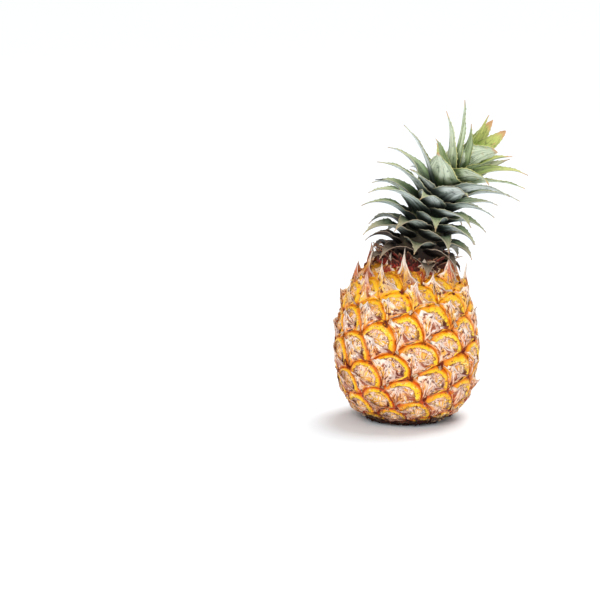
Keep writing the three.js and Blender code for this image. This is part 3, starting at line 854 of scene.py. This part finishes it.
sepals = []
for eye in range(FIRST_EYE, LAST_EYE + 1):
    chance = luck(3000 + eye, 12)
    height, scale = level(eye), eye_scale(eye)
    if height < SEPAL_HEIGHTS[0] or height > SEPAL_HEIGHTS[1]:
        continue
    middle_aside = (1.6 + 1.2 * (chance[0] - 0.5)) * scale
    middle_up = (0.9 + 1.2 * (chance[1] - 0.5)) * scale
    for flap in range(3):
        heading = math.radians(80 + 120 * flap + 50 * (chance[2 + flap] - 0.5))
        reach = (5.0 + 1.2 * chance[5 + flap]) * scale
        sepal, u, v = add_grid("sepal", SEPAL_FACETS, SEPAL_FACETS)
        half = 3.3 * scale * np.sin(math.pi * (0.32 + 0.68 * v)) ** 0.8
        inward = reach * (1 - v) - 0.6 * v
        aside_mm = middle_aside + inward * math.cos(heading) - u * half * math.sin(heading)
        up_mm = middle_up + inward * math.sin(heading) + u * half * math.cos(heading)
        cell = np.array([cell_from_mm(eye, a, b) for a, b in zip(aside_mm, up_mm)])
        rho = skin_rho(eye, cell)
        number, azimuth, aside, upward = cell_to_skin(eye, cell)
        under = eye_height(eye, np.minimum(rho, 1), arch_share(aside, upward), 0.0)
        arched = 0.2 + 0.55 * np.sin(math.pi * v * 0.62) * (1 - 0.55 * u**2) + 0.1 * flap
        out = np.minimum(under, 0.1) + arched + 0.5 * chance[8 + flap] * v**3
        place, normal, _, _ = skin_frame(number, azimuth)
        shape(sepal, place + normal * out[:, None])
        add_luck_map(sepal, chance[9 + flap], height / FRUIT_TOP)
        thicken(sepal, SEPAL_THICKNESS, (1 - v) * (1 - 0.8 * u**2), offset=-1)
        sepals.append(sepal)

eye_sepals = join_pieces("eye_sepals", sepals)


def sepal_finish():
    f = Finish("sepal_finish")
    u, v, _ = f.parts(f.node("UVMap", {"uv_map": "UVMap"}, {}))
    chance, _, _ = f.parts(f.node("UVMap", {"uv_map": "luck"}, {}))
    ribs = f.noise(f.vector(u * 4.5 + chance * 60, v * 0.9, chance * 31), 1, 2, 0.6)
    speck = f.noise(f.vector(u * 4 + chance * 40, v * 1.6, chance * 19), 1, 2, 0.6)
    edge = abs(u - 0.5).step(0.34, 0.48)
    colour = f.mix(ribs.step(0.42, 0.58), paint("e09450"), paint("fce0c8"))
    colour = f.mix(speck.step(0.48, 0.56) * 0.85, colour, paint("fab82c"))
    colour = f.mix(speck.step(0.36, 0.31) * 0.9, colour, paint("642410"))
    colour = f.mix(edge * 0.6, colour, paint("ffeedc"))
    colour = f.mix(v.step(0.85, 1.0) * ribs.step(0.4, 0.5) * 0.8, colour, paint("8a3a14"))
    colour = f.mix(v.step(0.2, 0.0) * 0.6, colour, paint("d08040"))
    f.set(Base_Color=colour, Roughness=0.62, Normal=f.bump(ribs, 0.8), Specular_IOR_Level=0.35)
    return f.material


eye_sepals.data.materials.append(sepal_finish())
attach(eye_sepals, BODY)
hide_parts("fruit")


# ---------------------------------------------------------------------------------------------
# Dry scraps. Curled brown ends of old bracts stick in many corners between the eyes, pale curls
# hang over some eyes, and a fringe stands round the base, where the lowest bracts were scraped off.

SCRAP_FACETS = 4  # each way
SCRAP_THICKNESS = 0.4
CORNER_SHARE = 0.62  # of the corners hold a scrap
CORNER_HEIGHTS = (8, 110)
CURL_SHARE = 0.55  # of the eyes between CURL_HEIGHTS have a curl; above them, every eye has one
CURL_HEIGHTS = (22, 97)
BASE_SCRAPS = 46

scraps = []


def add_scrap(number, azimuth, size, lift, seed, pale=1.0, aim=-35):
    """One curled flake that stands on the skin, pointing aim degrees up from the right."""
    chance = luck(3500 + seed, 8)
    scrap, u, v = add_grid("scrap", SCRAP_FACETS, SCRAP_FACETS)
    place, normal, upward, rightward = skin_frame(number, azimuth)
    heading = math.radians(aim + 80 * (chance[0] - 0.5))
    along = rightward * math.cos(heading) + upward * math.sin(heading)
    across = upward * math.cos(heading) - rightward * math.sin(heading)
    curl = math.radians(70 + 60 * chance[1]) * u
    radius = size * (0.26 + 0.12 * chance[2]) * (1 - 0.55 * v)
    reach = size * (v - 0.5) + 0.12 * size * np.sin(9 * u + 6 * chance[3]) * v
    out = lift + radius * (1 - np.cos(curl)) + size * (0.5 * chance[4] - 0.1) * v**2
    aside = radius * np.sin(curl)
    points = place + along * reach[:, None] + across * aside[:, None] + normal * out[:, None]
    points[:, 2] = np.maximum(points[:, 2], LOWEST_FLAT)
    shape(scrap, points)
    add_luck_map(scrap, chance[5] * pale, float(place[2]) / FRUIT_TOP)
    thicken(scrap, SCRAP_THICKNESS, 1 - np.abs(v - 0.5), offset=0)
    scraps.append(scrap)


for corner in range(FIRST_EYE, LAST_EYE + 1):
    number = corner + HALF_STEP - ALONG_DOWN
    height = level(number)
    if luck(3300 + corner, 1)[0] > CORNER_SHARE or not CORNER_HEIGHTS[0] < height < CORNER_HEIGHTS[1]:
        continue
    azimuth = eye_azimuth(corner) + (UP_TURN + DOWN_TURN) / 2
    scale = eye_scale(number)
    chance = luck(3400 + corner, 3)
    size = (2.6 + 2 * chance[0]) * scale
    lift = -1.9 if chance[1] < 0.6 else -1.4
    add_scrap(number, azimuth, size, lift, corner, pale=0.62 + 0.8 * (chance[2] > 0.7))

for eye in range(FIRST_EYE, LAST_EYE + 1):
    height = level(eye)
    azimuth = eye_azimuth(eye)
    chance = luck(3600 + eye, 4)
    if CURL_HEIGHTS[0] < height < CURL_HEIGHTS[1] and chance[0] > 1 - CURL_SHARE:
        azimuth = azimuth - 9 + 8 * chance[1]
        add_scrap(eye - HALF_STEP + 2, azimuth, 3 + 2 * chance[2], -1.2, 5000 + eye, pale=1.5, aim=60)
    if height > CURL_HEIGHTS[1]:
        azimuth = azimuth - 9 * chance[1]
        add_scrap(eye - 2 * chance[0], azimuth, 5 + 3 * chance[2], -1.3, 5200 + eye, pale=1.8, aim=80)

rising = slice(PROFILE_STEPS, None)  # the profile past the flat base, where its height rises
for index in range(BASE_SCRAPS):
    chance = luck(3900 + index, 3)
    number = float(np.interp(0.8 + 3.6 * chance[0], profile[rising, 1], profile_number[rising]))
    azimuth = index * 360 / BASE_SCRAPS + 6 * chance[1]
    add_scrap(number, azimuth, 3.6 + 3.2 * chance[2], -1.2, 700 + index, pale=0.68)

dry_scraps = join_pieces("dry_scraps", scraps)
lift_off_floor(dry_scraps)


def scrap_finish():
    f = Finish("scrap_finish")
    u, v, _ = f.parts(f.node("UVMap", {"uv_map": "UVMap"}, {}))
    chance, height, _ = f.parts(f.node("UVMap", {"uv_map": "luck"}, {}))
    ribs = f.noise(f.vector(u * 8 + chance * 60, v * 1.6, chance * 31), 1, 3, 0.65)
    colour = f.mix(ribs.step(0.38, 0.6), paint("3a0a04"), paint("9a3410"))
    colour = f.mix(chance.step(0.5, 0.65) * ribs.step(0.36, 0.5), colour, paint("f0cca4"))
    colour = f.mix(v.step(0.7, 1.0) * 0.6, colour, paint("b4682c"))
    # Near the base most scraps are near black, partly dry and partly painted shade.
    colour = f.mix(height.step(0.06, 0.03) * chance.step(0.66, 0.6) * 0.85, colour, paint("1c0604"))
    f.set(Base_Color=colour, Roughness=0.7, Normal=f.bump(ribs, 0.8), Specular_IOR_Level=0.3)
    return f.material


dry_scraps.data.materials.append(scrap_finish())
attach(dry_scraps, BODY)
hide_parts("fruit")


# ---------------------------------------------------------------------------------------------
# Crown stem. A short green stem that leans to the right and carries all the leaves of the crown.
# Its wide foot grows out of the flat top of the fruit.

STEM_LINE = [(4.5, 0, 108), (9, 0, 126), (13.5, 0, 143), (19, -1, 158), (26, -2, 171), (36, -4, 183)]
STEM_RADIUS = [(0, 19.5), (0.5, 12.5), (1, 3.6)]  # at shares of the way up the stem
STEM_SINK = 0.6  # how far its foot goes into the top of the fruit
STEM_SIDES = 48
STEM_RINGS = 40
LOWEST_RING = -0.999  # close above the foot, which keeps its edge crisp
ROUND_END = (0.97, 0.35)  # where the top begins to round in, and by what share of its radius


def ramp(pairs, place):
    """A value between the given ones, which are pairs of a place and its value."""
    return np.interp(place, [pair[0] for pair in pairs], [pair[1] for pair in pairs])


def unit(vector):
    return vector / np.linalg.norm(vector, axis=-1, keepdims=True)


def stem_frame(place, azimuth):
    """A place on the stem's middle line, its direction, and the outward direction at an azimuth."""
    near = np.clip(np.array([place - 0.001, place + 0.001]), 0, 1)
    below, above = smooth_curve(STEM_LINE, near, loose_ends=True)
    along = unit(above - below)
    front = np.array([0, -1.0, 0])
    front = unit(front - along * (front @ along))
    right_side = np.cross(along, front)
    turn = math.radians(azimuth)
    return (below + above) / 2, along, front * math.cos(turn) + right_side * math.sin(turn)


bpy.ops.object.select_all(action="DESELECT")
bpy.ops.mesh.primitive_cylinder_add(vertices=STEM_SIDES, radius=1, depth=2)
crown_stem = active_piece("leaning_stem")
bpy.ops.object.mode_set(mode="EDIT")
for ring_height in [LOWEST_RING] + [2 * ring / STEM_RINGS - 1 for ring in range(1, STEM_RINGS)]:
    bpy.ops.mesh.select_all(action="SELECT")
    bpy.ops.mesh.bisect(plane_co=(0, 0, ring_height), plane_no=(0, 0, 1))
bpy.ops.object.mode_set(mode="OBJECT")
for vertex in crown_stem.data.vertices:
    place = (vertex.co.z + 1) / 2
    origin, along, out = stem_frame(place, math.degrees(math.atan2(vertex.co.x, -vertex.co.y)))
    girth = float(ramp(STEM_RADIUS, place)) * (1 - ROUND_END[1] * float(smooth(ROUND_END[0], 1, place)))
    spot = origin + out * girth
    spot[2] = max(spot[2], FRUIT_TOP - STEM_SINK)
    vertex.co = Vector(spot * MM)
bpy.ops.object.select_all(action="DESELECT")
crown_stem.select_set(True)
bpy.ops.object.shade_smooth()


def stem_finish():
    f = Finish("stem_finish")
    spot = f.node("TexCoord", {}, {}, output="Object")
    grain = f.noise(spot, 260, 4, 0.6)
    blotch = f.noise(spot, 70, 3, 0.6)
    _, _, height = f.parts(spot)
    colour = f.mix(height.step(0.12, 0.165), paint("3a2218"), paint("4a5a34"))
    colour = f.mix(grain.step(0.4, 0.65) * 0.6, colour, paint("1c1710"))
    colour = f.mix(blotch.step(0.5, 0.7) * 0.5, colour, paint("7a7a4a"))
    f.set(Base_Color=colour, Roughness=0.75, Normal=f.bump(grain, 1.2))
    return f.material


crown_stem.data.materials.append(stem_finish())
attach(crown_stem, BODY)
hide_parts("crown_stem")


# ---------------------------------------------------------------------------------------------
# Crown leaves. Stiff channelled blades on one rising spiral, each clasping the stem by its foot.
# They have waxy silver-grey backs, greener insides, and pale edges set with small hooked teeth.

STATIONS = 61
LEAF_TURN = -137.508  # degrees from one leaf to the next up the stem
FIRST_LEAF_AZIMUTH = 200
# Sizes and angles at shares of the way up the crown; angles are from the stem's direction.
LEAF_PLACE = [(0, 0.02), (0.5, 0.5), (1, 0.99)]
LEAF_LENGTH = [(0, 18), (0.1, 30), (0.25, 36), (0.45, 43), (0.6, 50), (0.75, 56), (0.88, 50), (1, 30)]
LEAF_WIDTH = [(0, 22), (0.1, 26), (0.3, 27), (0.6, 25), (0.8, 20), (0.92, 15), (1, 9)]
LEAF_BASE_ANGLE = [(0, 54), (0.3, 50), (0.6, 42), (0.85, 26), (1, 6)]
LEAF_TIP_ANGLE = [(0, 162), (0.2, 152), (0.4, 132), (0.6, 100), (0.85, 52), (1, 12)]
LEAF_TAPER = [(0, 1.5), (0.5, 1.5), (1, 1)]
# Leaves that grew unlike their neighbours: factors on length, width and taper, degrees of turn, and
# degrees of bend at the foot and at the tip. Wax and dry are shares: of silver bloom, and of brown.
ODD_LEAVES = {
    6: {"length": 0.85},
    10: {"length": 0.86},
    12: {"length": 0.85, "tip": -10},
    15: {"length": 1.12},
    18: {"length": 0.92, "tip": 14},
    26: {"length": 1.3, "tip": -4},
    28: {"length": 1.33, "tip": -4},
    31: {"length": 0.84, "tip": 6, "dry": 1},
    32: {"length": 1.25, "tip": -14},
    36: {"tip": 5, "wax": 0.9},
    39: {"length": 1.04, "tip": 16, "wax": 0.8},
    40: {"tip": 6},
    41: {"length": 0.62, "turn": -15, "foot": 14},
    43: {"tip": 10},
    44: {"length": 0.98, "tip": -2, "wax": 1},
    45: {"tip": -14, "width": 1.2},
    46: {"length": 0.86, "turn": -23, "foot": 13, "tip": -4, "width": 1.7, "wax": 0.9},
    47: {"length": 0.62},
    48: {"length": 0.96, "tip": 16},
    49: {"length": 0.83, "turn": 11, "tip": 9, "wax": 0},
    51: {"length": 0.88, "tip": 40, "width": 1.3},
    52: {"length": 1.1, "turn": 46, "foot": -4, "tip": 7, "width": 1.15, "wax": 0.9},
    53: {"length": 1.1, "tip": 34},
    54: {"length": 0.95, "turn": 49, "foot": -28, "tip": 22, "width": 2, "taper": 0.7, "wax": 0.8},
    55: {"length": 1.12, "turn": -14, "tip": -7, "width": 1.25, "taper": 0.7, "dry": 0.8},
    56: {"length": 0.95, "turn": 45, "foot": -9, "tip": 15, "width": 1.4, "wax": 0.2},
    57: {"length": 1.51, "turn": 15, "foot": 11, "tip": 16, "width": 0.85, "wax": 0.4},
    58: {"length": 1.23, "turn": 15, "tip": 9, "width": 1.5, "taper": 0.6, "dry": 0.7},
    59: {"length": 1.22, "turn": -59, "tip": 30, "width": 1.5, "wax": 0.1},
    60: {"length": 1.44, "turn": 6, "width": 1.3}}
LEAF_COLUMNS = 12
COLUMN_SPACING = 0.8  # the power that sets the columns of facets closer together near the edges
LEAF_ROW = 0.9  # millimetres from one row of facets to the next
LEAF_THICKNESS = 1.5  # in the middle of the foot
LEAF_SINK = 1.5  # how deep the foot sits in the stem
BEND_STEPS = 200
BEND_CURVE = 1.15  # a blade bends a little more towards its tip
SHOULDER = 0.12  # where a blade is widest, as a share of its length
CHANNEL_HALF_ANGLE = math.radians(40)  # from the middle to an edge, past CHANNEL_START
CHANNEL_START = 0.35
TIP_HALF_WIDTH = 0.22
TOOTH_OUT = 0.4
TOOTH_FORWARD = 0.4
TOOTH_ROWS = 4  # from one tooth to the next
TOOTH_ENDS = (0.12, 0.93)  # the share of the blade's edges that has teeth


def blade_points(u, v, origin, along, out, foot, length, width, angles, taper, seed):
    """A channelled, tapering, bending blade that grows from a foot beside a stem."""
    across_axis = np.cross(along, out)
    base_angle, tip_angle = np.radians(angles)
    fine = np.linspace(0, 1, BEND_STEPS + 1)
    bend = base_angle + (tip_angle - base_angle) * ((fine[1:] + fine[:-1]) / 2) ** BEND_CURVE
    steps = (np.sin(bend)[:, None] * out + np.cos(bend)[:, None] * along) * length / BEND_STEPS
    line = np.vstack([np.zeros(3), np.cumsum(steps, axis=0)]) + origin + out * foot
    middle = np.stack([np.interp(v, fine, line[:, axis]) for axis in range(3)], -1)
    chance = luck(4000 + seed, 8) - 0.5
    sway = chance[0] * 0.05 * length * v**2 + chance[1] * 0.03 * length * np.sin(2 * math.pi * v) * v
    middle = middle + across_axis * sway[:, None]
    angle = base_angle + (tip_angle - base_angle) * v**BEND_CURVE
    inner = -np.cos(angle)[:, None] * out + np.sin(angle)[:, None] * along
    twist = (chance[2] * 0.7 * v**1.5)[:, None]
    side = across_axis * np.cos(twist) + inner * np.sin(twist)
    inner = inner * np.cos(twist) - across_axis * np.sin(twist)
    # Its half width, and how far it rolls round the stem at its foot and into a channel beyond.
    rest = np.maximum(v - SHOULDER, 0) / (1 - SHOULDER)
    shoulder = 0.86 + 0.14 * np.sin(np.minimum(v / SHOULDER, 1) * math.pi / 2)
    half = np.maximum(width / 2 * shoulder * (1 - rest**1.25) ** taper, TIP_HALF_WIDTH)
    offset = middle - origin
    from_stem = np.linalg.norm(offset - (offset @ along)[:, None] * along, axis=1)
    channel = CHANNEL_HALF_ANGLE * np.minimum(v / CHANNEL_START, 1)
    roll = np.clip(np.maximum(half / np.maximum(from_stem, 1), channel), 0.05, 1.4)
    turn = roll * u
    across = half / roll * np.sin(turn)
    lift = half / roll * (1 - np.cos(turn))
    # Soft unevenness, and hooked teeth along both edges.
    wave = 0.35 * np.sin(v * length / 3.1 + chance[3] * 12) * np.abs(u) ** 3 * smooth(0.1, 0.3, v)
    row = np.rint(v * round(length / LEAF_ROW))
    tooth = (np.abs(u) > 0.999) & (row % TOOTH_ROWS == 1) & (v > TOOTH_ENDS[0]) & (v < TOOTH_ENDS[1])
    size = 0.7 + 0.6 * (np.sin(row * 12.9898 + seed * 7.1) * 0.5 + 0.5)
    across = across + np.sign(u) * tooth * TOOTH_OUT * size * np.cos(turn)
    lift = lift + tooth * TOOTH_OUT * size * np.sin(np.abs(turn)) + wave
    forward = (tooth * TOOTH_FORWARD * size)[:, None]
    direction = np.sin(angle)[:, None] * out + np.cos(angle)[:, None] * along
    return middle + side * across[:, None] + inner * lift[:, None] + direction * forward


def add_blade(name, origin, along, out, foot, length, width, angles, taper, seed, lucks, finishes):
    """One blade with its two sides, each with a finish of its own."""
    rows = round(length / LEAF_ROW)
    blade, u, v = add_grid(name, LEAF_COLUMNS, rows)
    u = np.sign(u) * np.abs(u) ** COLUMN_SPACING
    shape(blade, blade_points(u, v, origin, along, out, foot, length, width, angles, taper, seed))
    add_luck_map(blade, *lucks)
    for finish in finishes:
        blade.data.materials.append(finish)
    thickness = (1 - np.abs(u) ** 3) * (1 - 0.75 * v)
    thicken(blade, LEAF_THICKNESS, thickness, offset=0, thin=0.16, second_side=True)
    bpy.ops.object.shade_smooth()
    return blade


def leaf_finish(name, side, dark, light, bloom, mottle_and_shade, margin, tip):
    """One side of a leaf: lengthwise fibres under a waxy bloom, a pale edge and a dry tip."""
    f = Finish(f"{name}_{side}")
    across, along, _ = f.parts(f.node("UVMap", {"uv_map": "UVMap"}, {}))
    chance, dryness, _ = f.parts(f.node("UVMap", {"uv_map": "luck"}, {}))
    out = abs(across * 2 - 1)
    fibre = f.noise(f.vector(across * 22 + chance * 90, along * 1.5, chance * 40), 1, 3, 0.7)
    band = f.noise(f.vector(across * 11 + chance * 50, along * 1.3, chance * 20), 1, 2, 0.5)
    patch = f.noise(f.vector(across * 3 + chance * 30, along * 5, chance * 25), 1, 4, 0.6)
    colour = f.mix(band.step(0.3, 0.6) * 0.6 + fibre.step(0.38, 0.6) * 0.4, paint(dark), paint(light))
    ridge = f.noise(f.vector(across * 60 + chance * 70, along * 2.5, chance * 60), 1, 2, 0.6)
    colour = f.mix(ridge.step(0.5, 0.62) * 0.35 * along.step(0.2, 0.6), colour, paint(bloom))
    wax = patch.step(0.25, 0.5) * (0.5 + band.step(0.4, 0.58) * 0.55) * along.step(0.08, 0.45)
    wax = wax * (1 - out.step(0.45, 1.0) * 0.5)
    wax = wax * (0.35 + chance.step(0.05, 0.75) * 0.9)
    colour = f.mix(wax if side == "back" else wax * 0.35, colour, paint(bloom))
    if side == "inside":
        colour = f.mix(along.step(0.4, 0.95) * (0.2 + patch * 0.7), colour, paint(margin))
    colour = f.mix(fibre.step(0.44, 0.37) * 0.55, colour, paint(dark))
    blotch = f.noise(f.vector(across * 5 + chance * 64, along * 9, chance * 52), 1, 3, 0.7)
    colour = f.mix(blotch.step(0.6, 0.68) * along.step(0.3, 0.8) * 0.55, colour, paint("b8a05c"))
    colour = f.mix(blotch.step(0.42, 0.34) * 0.5, colour, paint(mottle_and_shade))
    # Painted shade with a darker green: each blade is near black at its foot, where the blades crowd.
    colour = f.mix((along + (patch - 0.5) * 0.15).step(0.42, 0.14) * 0.92, colour, paint(mottle_and_shade))
    edge = (out + (patch - 0.5) * 0.12).step(0.92, 1.01)
    line = (out + (patch - 0.5) * 0.12).step(0.8, 0.86) * (1 - edge) * along.step(0.1, 0.4)
    colour = f.mix(line * 0.35, colour, paint(dark))
    colour = f.mix(edge * along.step(0.05, 0.35) * (0.5 + chance * 0.4), colour, paint(margin))
    colour = f.mix(out.step(0.965, 1.0) * fibre.step(0.45, 0.6) * 0.4, colour, paint("8c5a3c"))
    dry = (along + (patch - 0.5) * 0.25 + dryness * 0.12).step(0.9, 1.04)
    colour = f.mix(dry, colour, f.mix(dryness.step(0.85, 0.95), paint(tip), paint("1c130e")))
    f.set(Base_Color=colour, Roughness=0.5 + dry * 0.25, Normal=f.bump(fibre, 0.5), Specular_IOR_Level=0.4)
    return f.material


# The four palettes run from the foot of the crown to its heart; the lower ones are darker, partly their own
# colour and partly painted shade low in the crown.
leaf_finishes = {}
for name, inside_colours, back_colours, mottle_and_shade, margin, tip in [
        ("base_leaf", ("120808", "2c1d18", "5a4e42"), ("0e0606", "2a1a18", "54483f"),
         "0a0404", "e0c8ac", "c09a78"),
        ("lower_leaf", ("14180e", "4e643a", "96aa8a"), ("0e100c", "545c4e", "b8c0b4"),
         "070605", "f0deb8", "c8a078"),
        ("middle_leaf", ("22371d", "739455", "bccba8"), ("24342a", "93a89c", "e6ece8"),
         "0c120d", "e0dcb0", "b89a70"),
        ("heart_leaf", ("34541c", "9cbc44", "d4de8c"), ("385230", "9cb46c", "e4ecd4"),
         "1a2a10", "efe890", "d8a878")]:
    leaf_finishes[name] = [leaf_finish(name, "back", *back_colours, mottle_and_shade, margin, tip),
                           leaf_finish(name, "inside", *inside_colours, mottle_and_shade, margin, tip)]

FIRST_IN_CAD, LAST_IN_CAD = 4, 60  # the stations whose leaves are CAD nodes
LAST_BASE, LAST_LOWER, LAST_MIDDLE = 10, 21, 45
ORDINARY_LEAF = {"length": 1, "width": 1, "taper": 1, "turn": 0, "foot": 0, "tip": 0}

for station in range(STATIONS + 1):
    height = station / STATIONS
    odd = ORDINARY_LEAF | ODD_LEAVES.get(station, {})
    # Leaves on the side that the stem leans to are shorter low down, and a little longer high up.
    azimuth = FIRST_LEAF_AZIMUTH + station * LEAF_TURN + odd["turn"]
    lean = math.sin(math.radians(azimuth))
    change = -0.22 * max(lean, 0) if height < 0.6 else 0.06 * lean
    length = float(ramp(LEAF_LENGTH, height)) * (1 + change) * odd["length"]
    width = float(ramp(LEAF_WIDTH, height)) * odd["width"]
    taper = float(ramp(LEAF_TAPER, height)) * odd["taper"]
    angles = (float(ramp(LEAF_BASE_ANGLE, height)) + odd["foot"],
              float(ramp(LEAF_TIP_ANGLE, height)) + odd["tip"])
    place = float(ramp(LEAF_PLACE, height))
    foot = float(ramp(STEM_RADIUS, place)) - LEAF_SINK
    origin, along, out = stem_frame(place, azimuth)
    group = "heart_leaf"
    if station <= LAST_MIDDLE:
        group = "middle_leaf"
    if station <= LAST_LOWER:
        group = "lower_leaf"
    look = "base_leaf" if station <= LAST_BASE else group
    in_cad = FIRST_IN_CAD <= station <= LAST_IN_CAD
    number = station - FIRST_IN_CAD + 1
    name = f"crown_leaf_{number:02d}" if in_cad else f"extra_leaf_{station:02d}"
    chance = luck(6500 + station, 2)
    lucks = (odd.get("wax", chance[0]), odd.get("dry", chance[1] * 0.6))
    leaf = add_blade(name, origin, along, out, foot, length, width, angles, taper, station,
                     lucks, leaf_finishes[look])
    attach(leaf, BODY)
    if in_cad:
        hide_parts(f"leaf_{number:02d}")


# ---------------------------------------------------------------------------------------------
# Crown collar. Short dry bracts, dark red at the foot and tan at the edges, that crowd round the
# foot of the crown where it sits in the top of the fruit.

COLLAR_CENTRE = 5  # millimetres to the right of the fruit's axis, under the leaning stem
COLLAR_SINK = 2.2  # how far its feet go into the fruit
SHOULDER_HEIGHT = 90  # it grows on the fruit above this
COLLAR_LEAN = (0.16, 0, 1.0)  # the stem's direction at its foot
COLLAR_TAPER = 1.3
COLLAR_ROWS = [  # radius, count, length, width, angles from the stem's direction at foot and tip
    (27, 17, 7, 9, (2, 40)), (25.5, 16, 10, 10, (3, 45)), (23.5, 15, 13, 11, (5, 55)),
    (21, 13, 16, 12, (10, 75)), (18.5, 11, 18, 13, (16, 100))]


def collar_finish(side, dark, light):
    f = Finish(f"collar_{side}")
    across, along, _ = f.parts(f.node("UVMap", {"uv_map": "UVMap"}, {}))
    chance, _, _ = f.parts(f.node("UVMap", {"uv_map": "luck"}, {}))
    out = abs(across * 2 - 1)
    fibre = f.noise(f.vector(across * 22 + chance * 90, along * 1.6, chance * 40), 1, 3, 0.7)
    patch = f.noise(f.vector(across * 3 + chance * 30, along * 4, chance * 25), 1, 4, 0.6)
    colour = f.mix(fibre.step(0.36, 0.64), paint(dark), paint(light))
    colour = f.mix(patch.step(0.52, 0.62) * 0.55, colour, paint("b8342a"))
    foot = (along + (patch - 0.5) * 0.6).step(0.4, 0.15) * fibre.step(0.46, 0.54)
    colour = f.mix(foot * 0.9, colour, paint("e04c3a"))
    edge = (out + (patch - 0.5) * 0.3).step(0.7, 0.98) * along.step(0.3, 0.8)
    colour = f.mix(edge * 0.55, colour, paint("c09070"))
    colour = f.mix((along + (patch - 0.5) * 0.5).step(0.8, 1.05) * 0.7, colour, paint("c0916a"))
    colour = f.mix(chance.step(0.78, 0.84) * along.step(0.3, 0.7) * 0.5, colour, paint("f0d8b4"))
    f.set(Base_Color=colour, Roughness=0.65, Normal=f.bump(fibre, 0.7), Specular_IOR_Level=0.35)
    return f.material


# Their dark browns are partly the bracts' own colour and partly painted shade under the crown.
collar_finishes = [collar_finish("back", "1c0a08", "57291e"), collar_finish("inside", "2a100c", "74422f")]
collar = []
for row, (radius, count, length, width, angles) in enumerate(COLLAR_ROWS):
    for index in range(count):
        seed = 100 + 40 * row + index
        chance = luck(8000 + seed, 5)
        azimuth = (index + 0.5 * (row % 2) + 0.5 * (chance[0] - 0.5)) * 360 / count
        near = radius + 1.5 * (chance[1] - 0.5)
        out = np.array([math.sin(math.radians(azimuth)), -math.cos(math.radians(azimuth)), 0])
        centre = np.array([COLLAR_CENTRE, 0, 0])
        from_axis = max(np.linalg.norm(centre + out * near), SEAT_RADIUS + 0.5)
        shoulder = np.argmax((profile[:, 1] > SHOULDER_HEIGHT) & (profile[:, 0] < from_axis))
        foot_height = math.floor(profile[shoulder, 1] - COLLAR_SINK)  # in whole millimetres
        origin = centre + np.array([0, 0, foot_height])
        lean = unit(np.array(COLLAR_LEAN))
        out = unit(out - lean * (out @ lean))
        size = 0.8 + 0.45 * chance[2]
        tilt = 14 * (chance[3] - 0.5)
        across = width * (0.85 + 0.3 * chance[4])
        tilted = (angles[0] + tilt, angles[1] + 2 * tilt)
        blade = add_blade("collar_blade", origin, lean, out, near, length * size, across, tilted,
                          COLLAR_TAPER, seed, chance[:2], collar_finishes)
        collar.append(blade)

crown_collar = join_pieces("crown_collar", collar)
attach(crown_collar, BODY)
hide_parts("fruit")


# ---------------------------------------------------------------------------------------------
# Cut stalk. The woody stub that the fruit was cut from, flush with the base: a pale fibrous face
# with a dry brown rim.

STALK_RADIUS = 11
STALK_HEIGHT = 6
STALK_SIDES = 72
STALK_RIM = 0.35  # the ring of the cut face that stays flat, then the rings inside it
STALK_RING = 1.15
STALK_RINGS = 8

bpy.ops.object.select_all(action="DESELECT")
bpy.ops.mesh.primitive_cylinder_add(vertices=STALK_SIDES, radius=STALK_RADIUS * MM,
                                    depth=STALK_HEIGHT * MM, location=(0, 0, STALK_HEIGHT / 2 * MM))
cut_stalk = active_piece("stalk_stub")
bpy.ops.object.transform_apply(location=True, rotation=True, scale=True)
bpy.ops.object.mode_set(mode="EDIT")
bpy.ops.mesh.select_all(action="DESELECT")
bpy.ops.object.mode_set(mode="OBJECT")
for polygon in cut_stalk.data.polygons:
    polygon.select = polygon.normal.z < -0.9
bpy.ops.object.mode_set(mode="EDIT")
for thickness in [STALK_RIM] + [STALK_RING] * STALK_RINGS:
    bpy.ops.mesh.inset(thickness=thickness * MM, depth=0)
bpy.ops.object.mode_set(mode="OBJECT")
for vertex in cut_stalk.data.vertices:
    reach = math.hypot(vertex.co.x, vertex.co.y) / MM
    if vertex.co.z < 1e-5 and reach < STALK_RADIUS - 0.1:
        rough = luck(int(vertex.co.x * 1e6) * 7 + int(vertex.co.y * 1e6), 1)[0]
        vertex.co.z = (0.08 + 0.3 * rough + 0.25 * (1 - reach / STALK_RADIUS)) * MM
bpy.ops.object.select_all(action="DESELECT")
cut_stalk.select_set(True)
bpy.ops.object.shade_smooth_by_angle(angle=math.radians(50))


def stalk_finish():
    f = Finish("stalk_finish")
    spot = f.node("TexCoord", {}, {}, output="Object")
    x, y, height = f.parts(spot)
    reach = f.node("VectorMath", {"operation": "LENGTH"}, {0: f.vector(x, y, 0)}, output="Value")
    pores = f.node("TexVoronoi", {"feature": "F1"},
                   {"Vector": f.vector(x, y, height * 0.1), "Scale": 900})
    grain = f.noise(f.vector(x, y, height * 0.1), 420, 4, 0.7)
    colour = f.mix(grain.step(0.35, 0.65), paint("8a6a44"), paint("cdb48a"))
    colour = f.mix(pores.step(0.32, 0.12) * 0.75, colour, paint("4a3320"))
    colour = f.mix((reach + (grain - 0.5) * 0.002).step(0.0085, 0.0108) * 0.9, colour, paint("3a2417"))
    f.set(Base_Color=colour, Roughness=0.85, Normal=f.bump(grain - pores * 0.5, 0.8))
    return f.material


cut_stalk.data.materials.append(stalk_finish())
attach(cut_stalk, BODY)
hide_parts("cut_stalk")
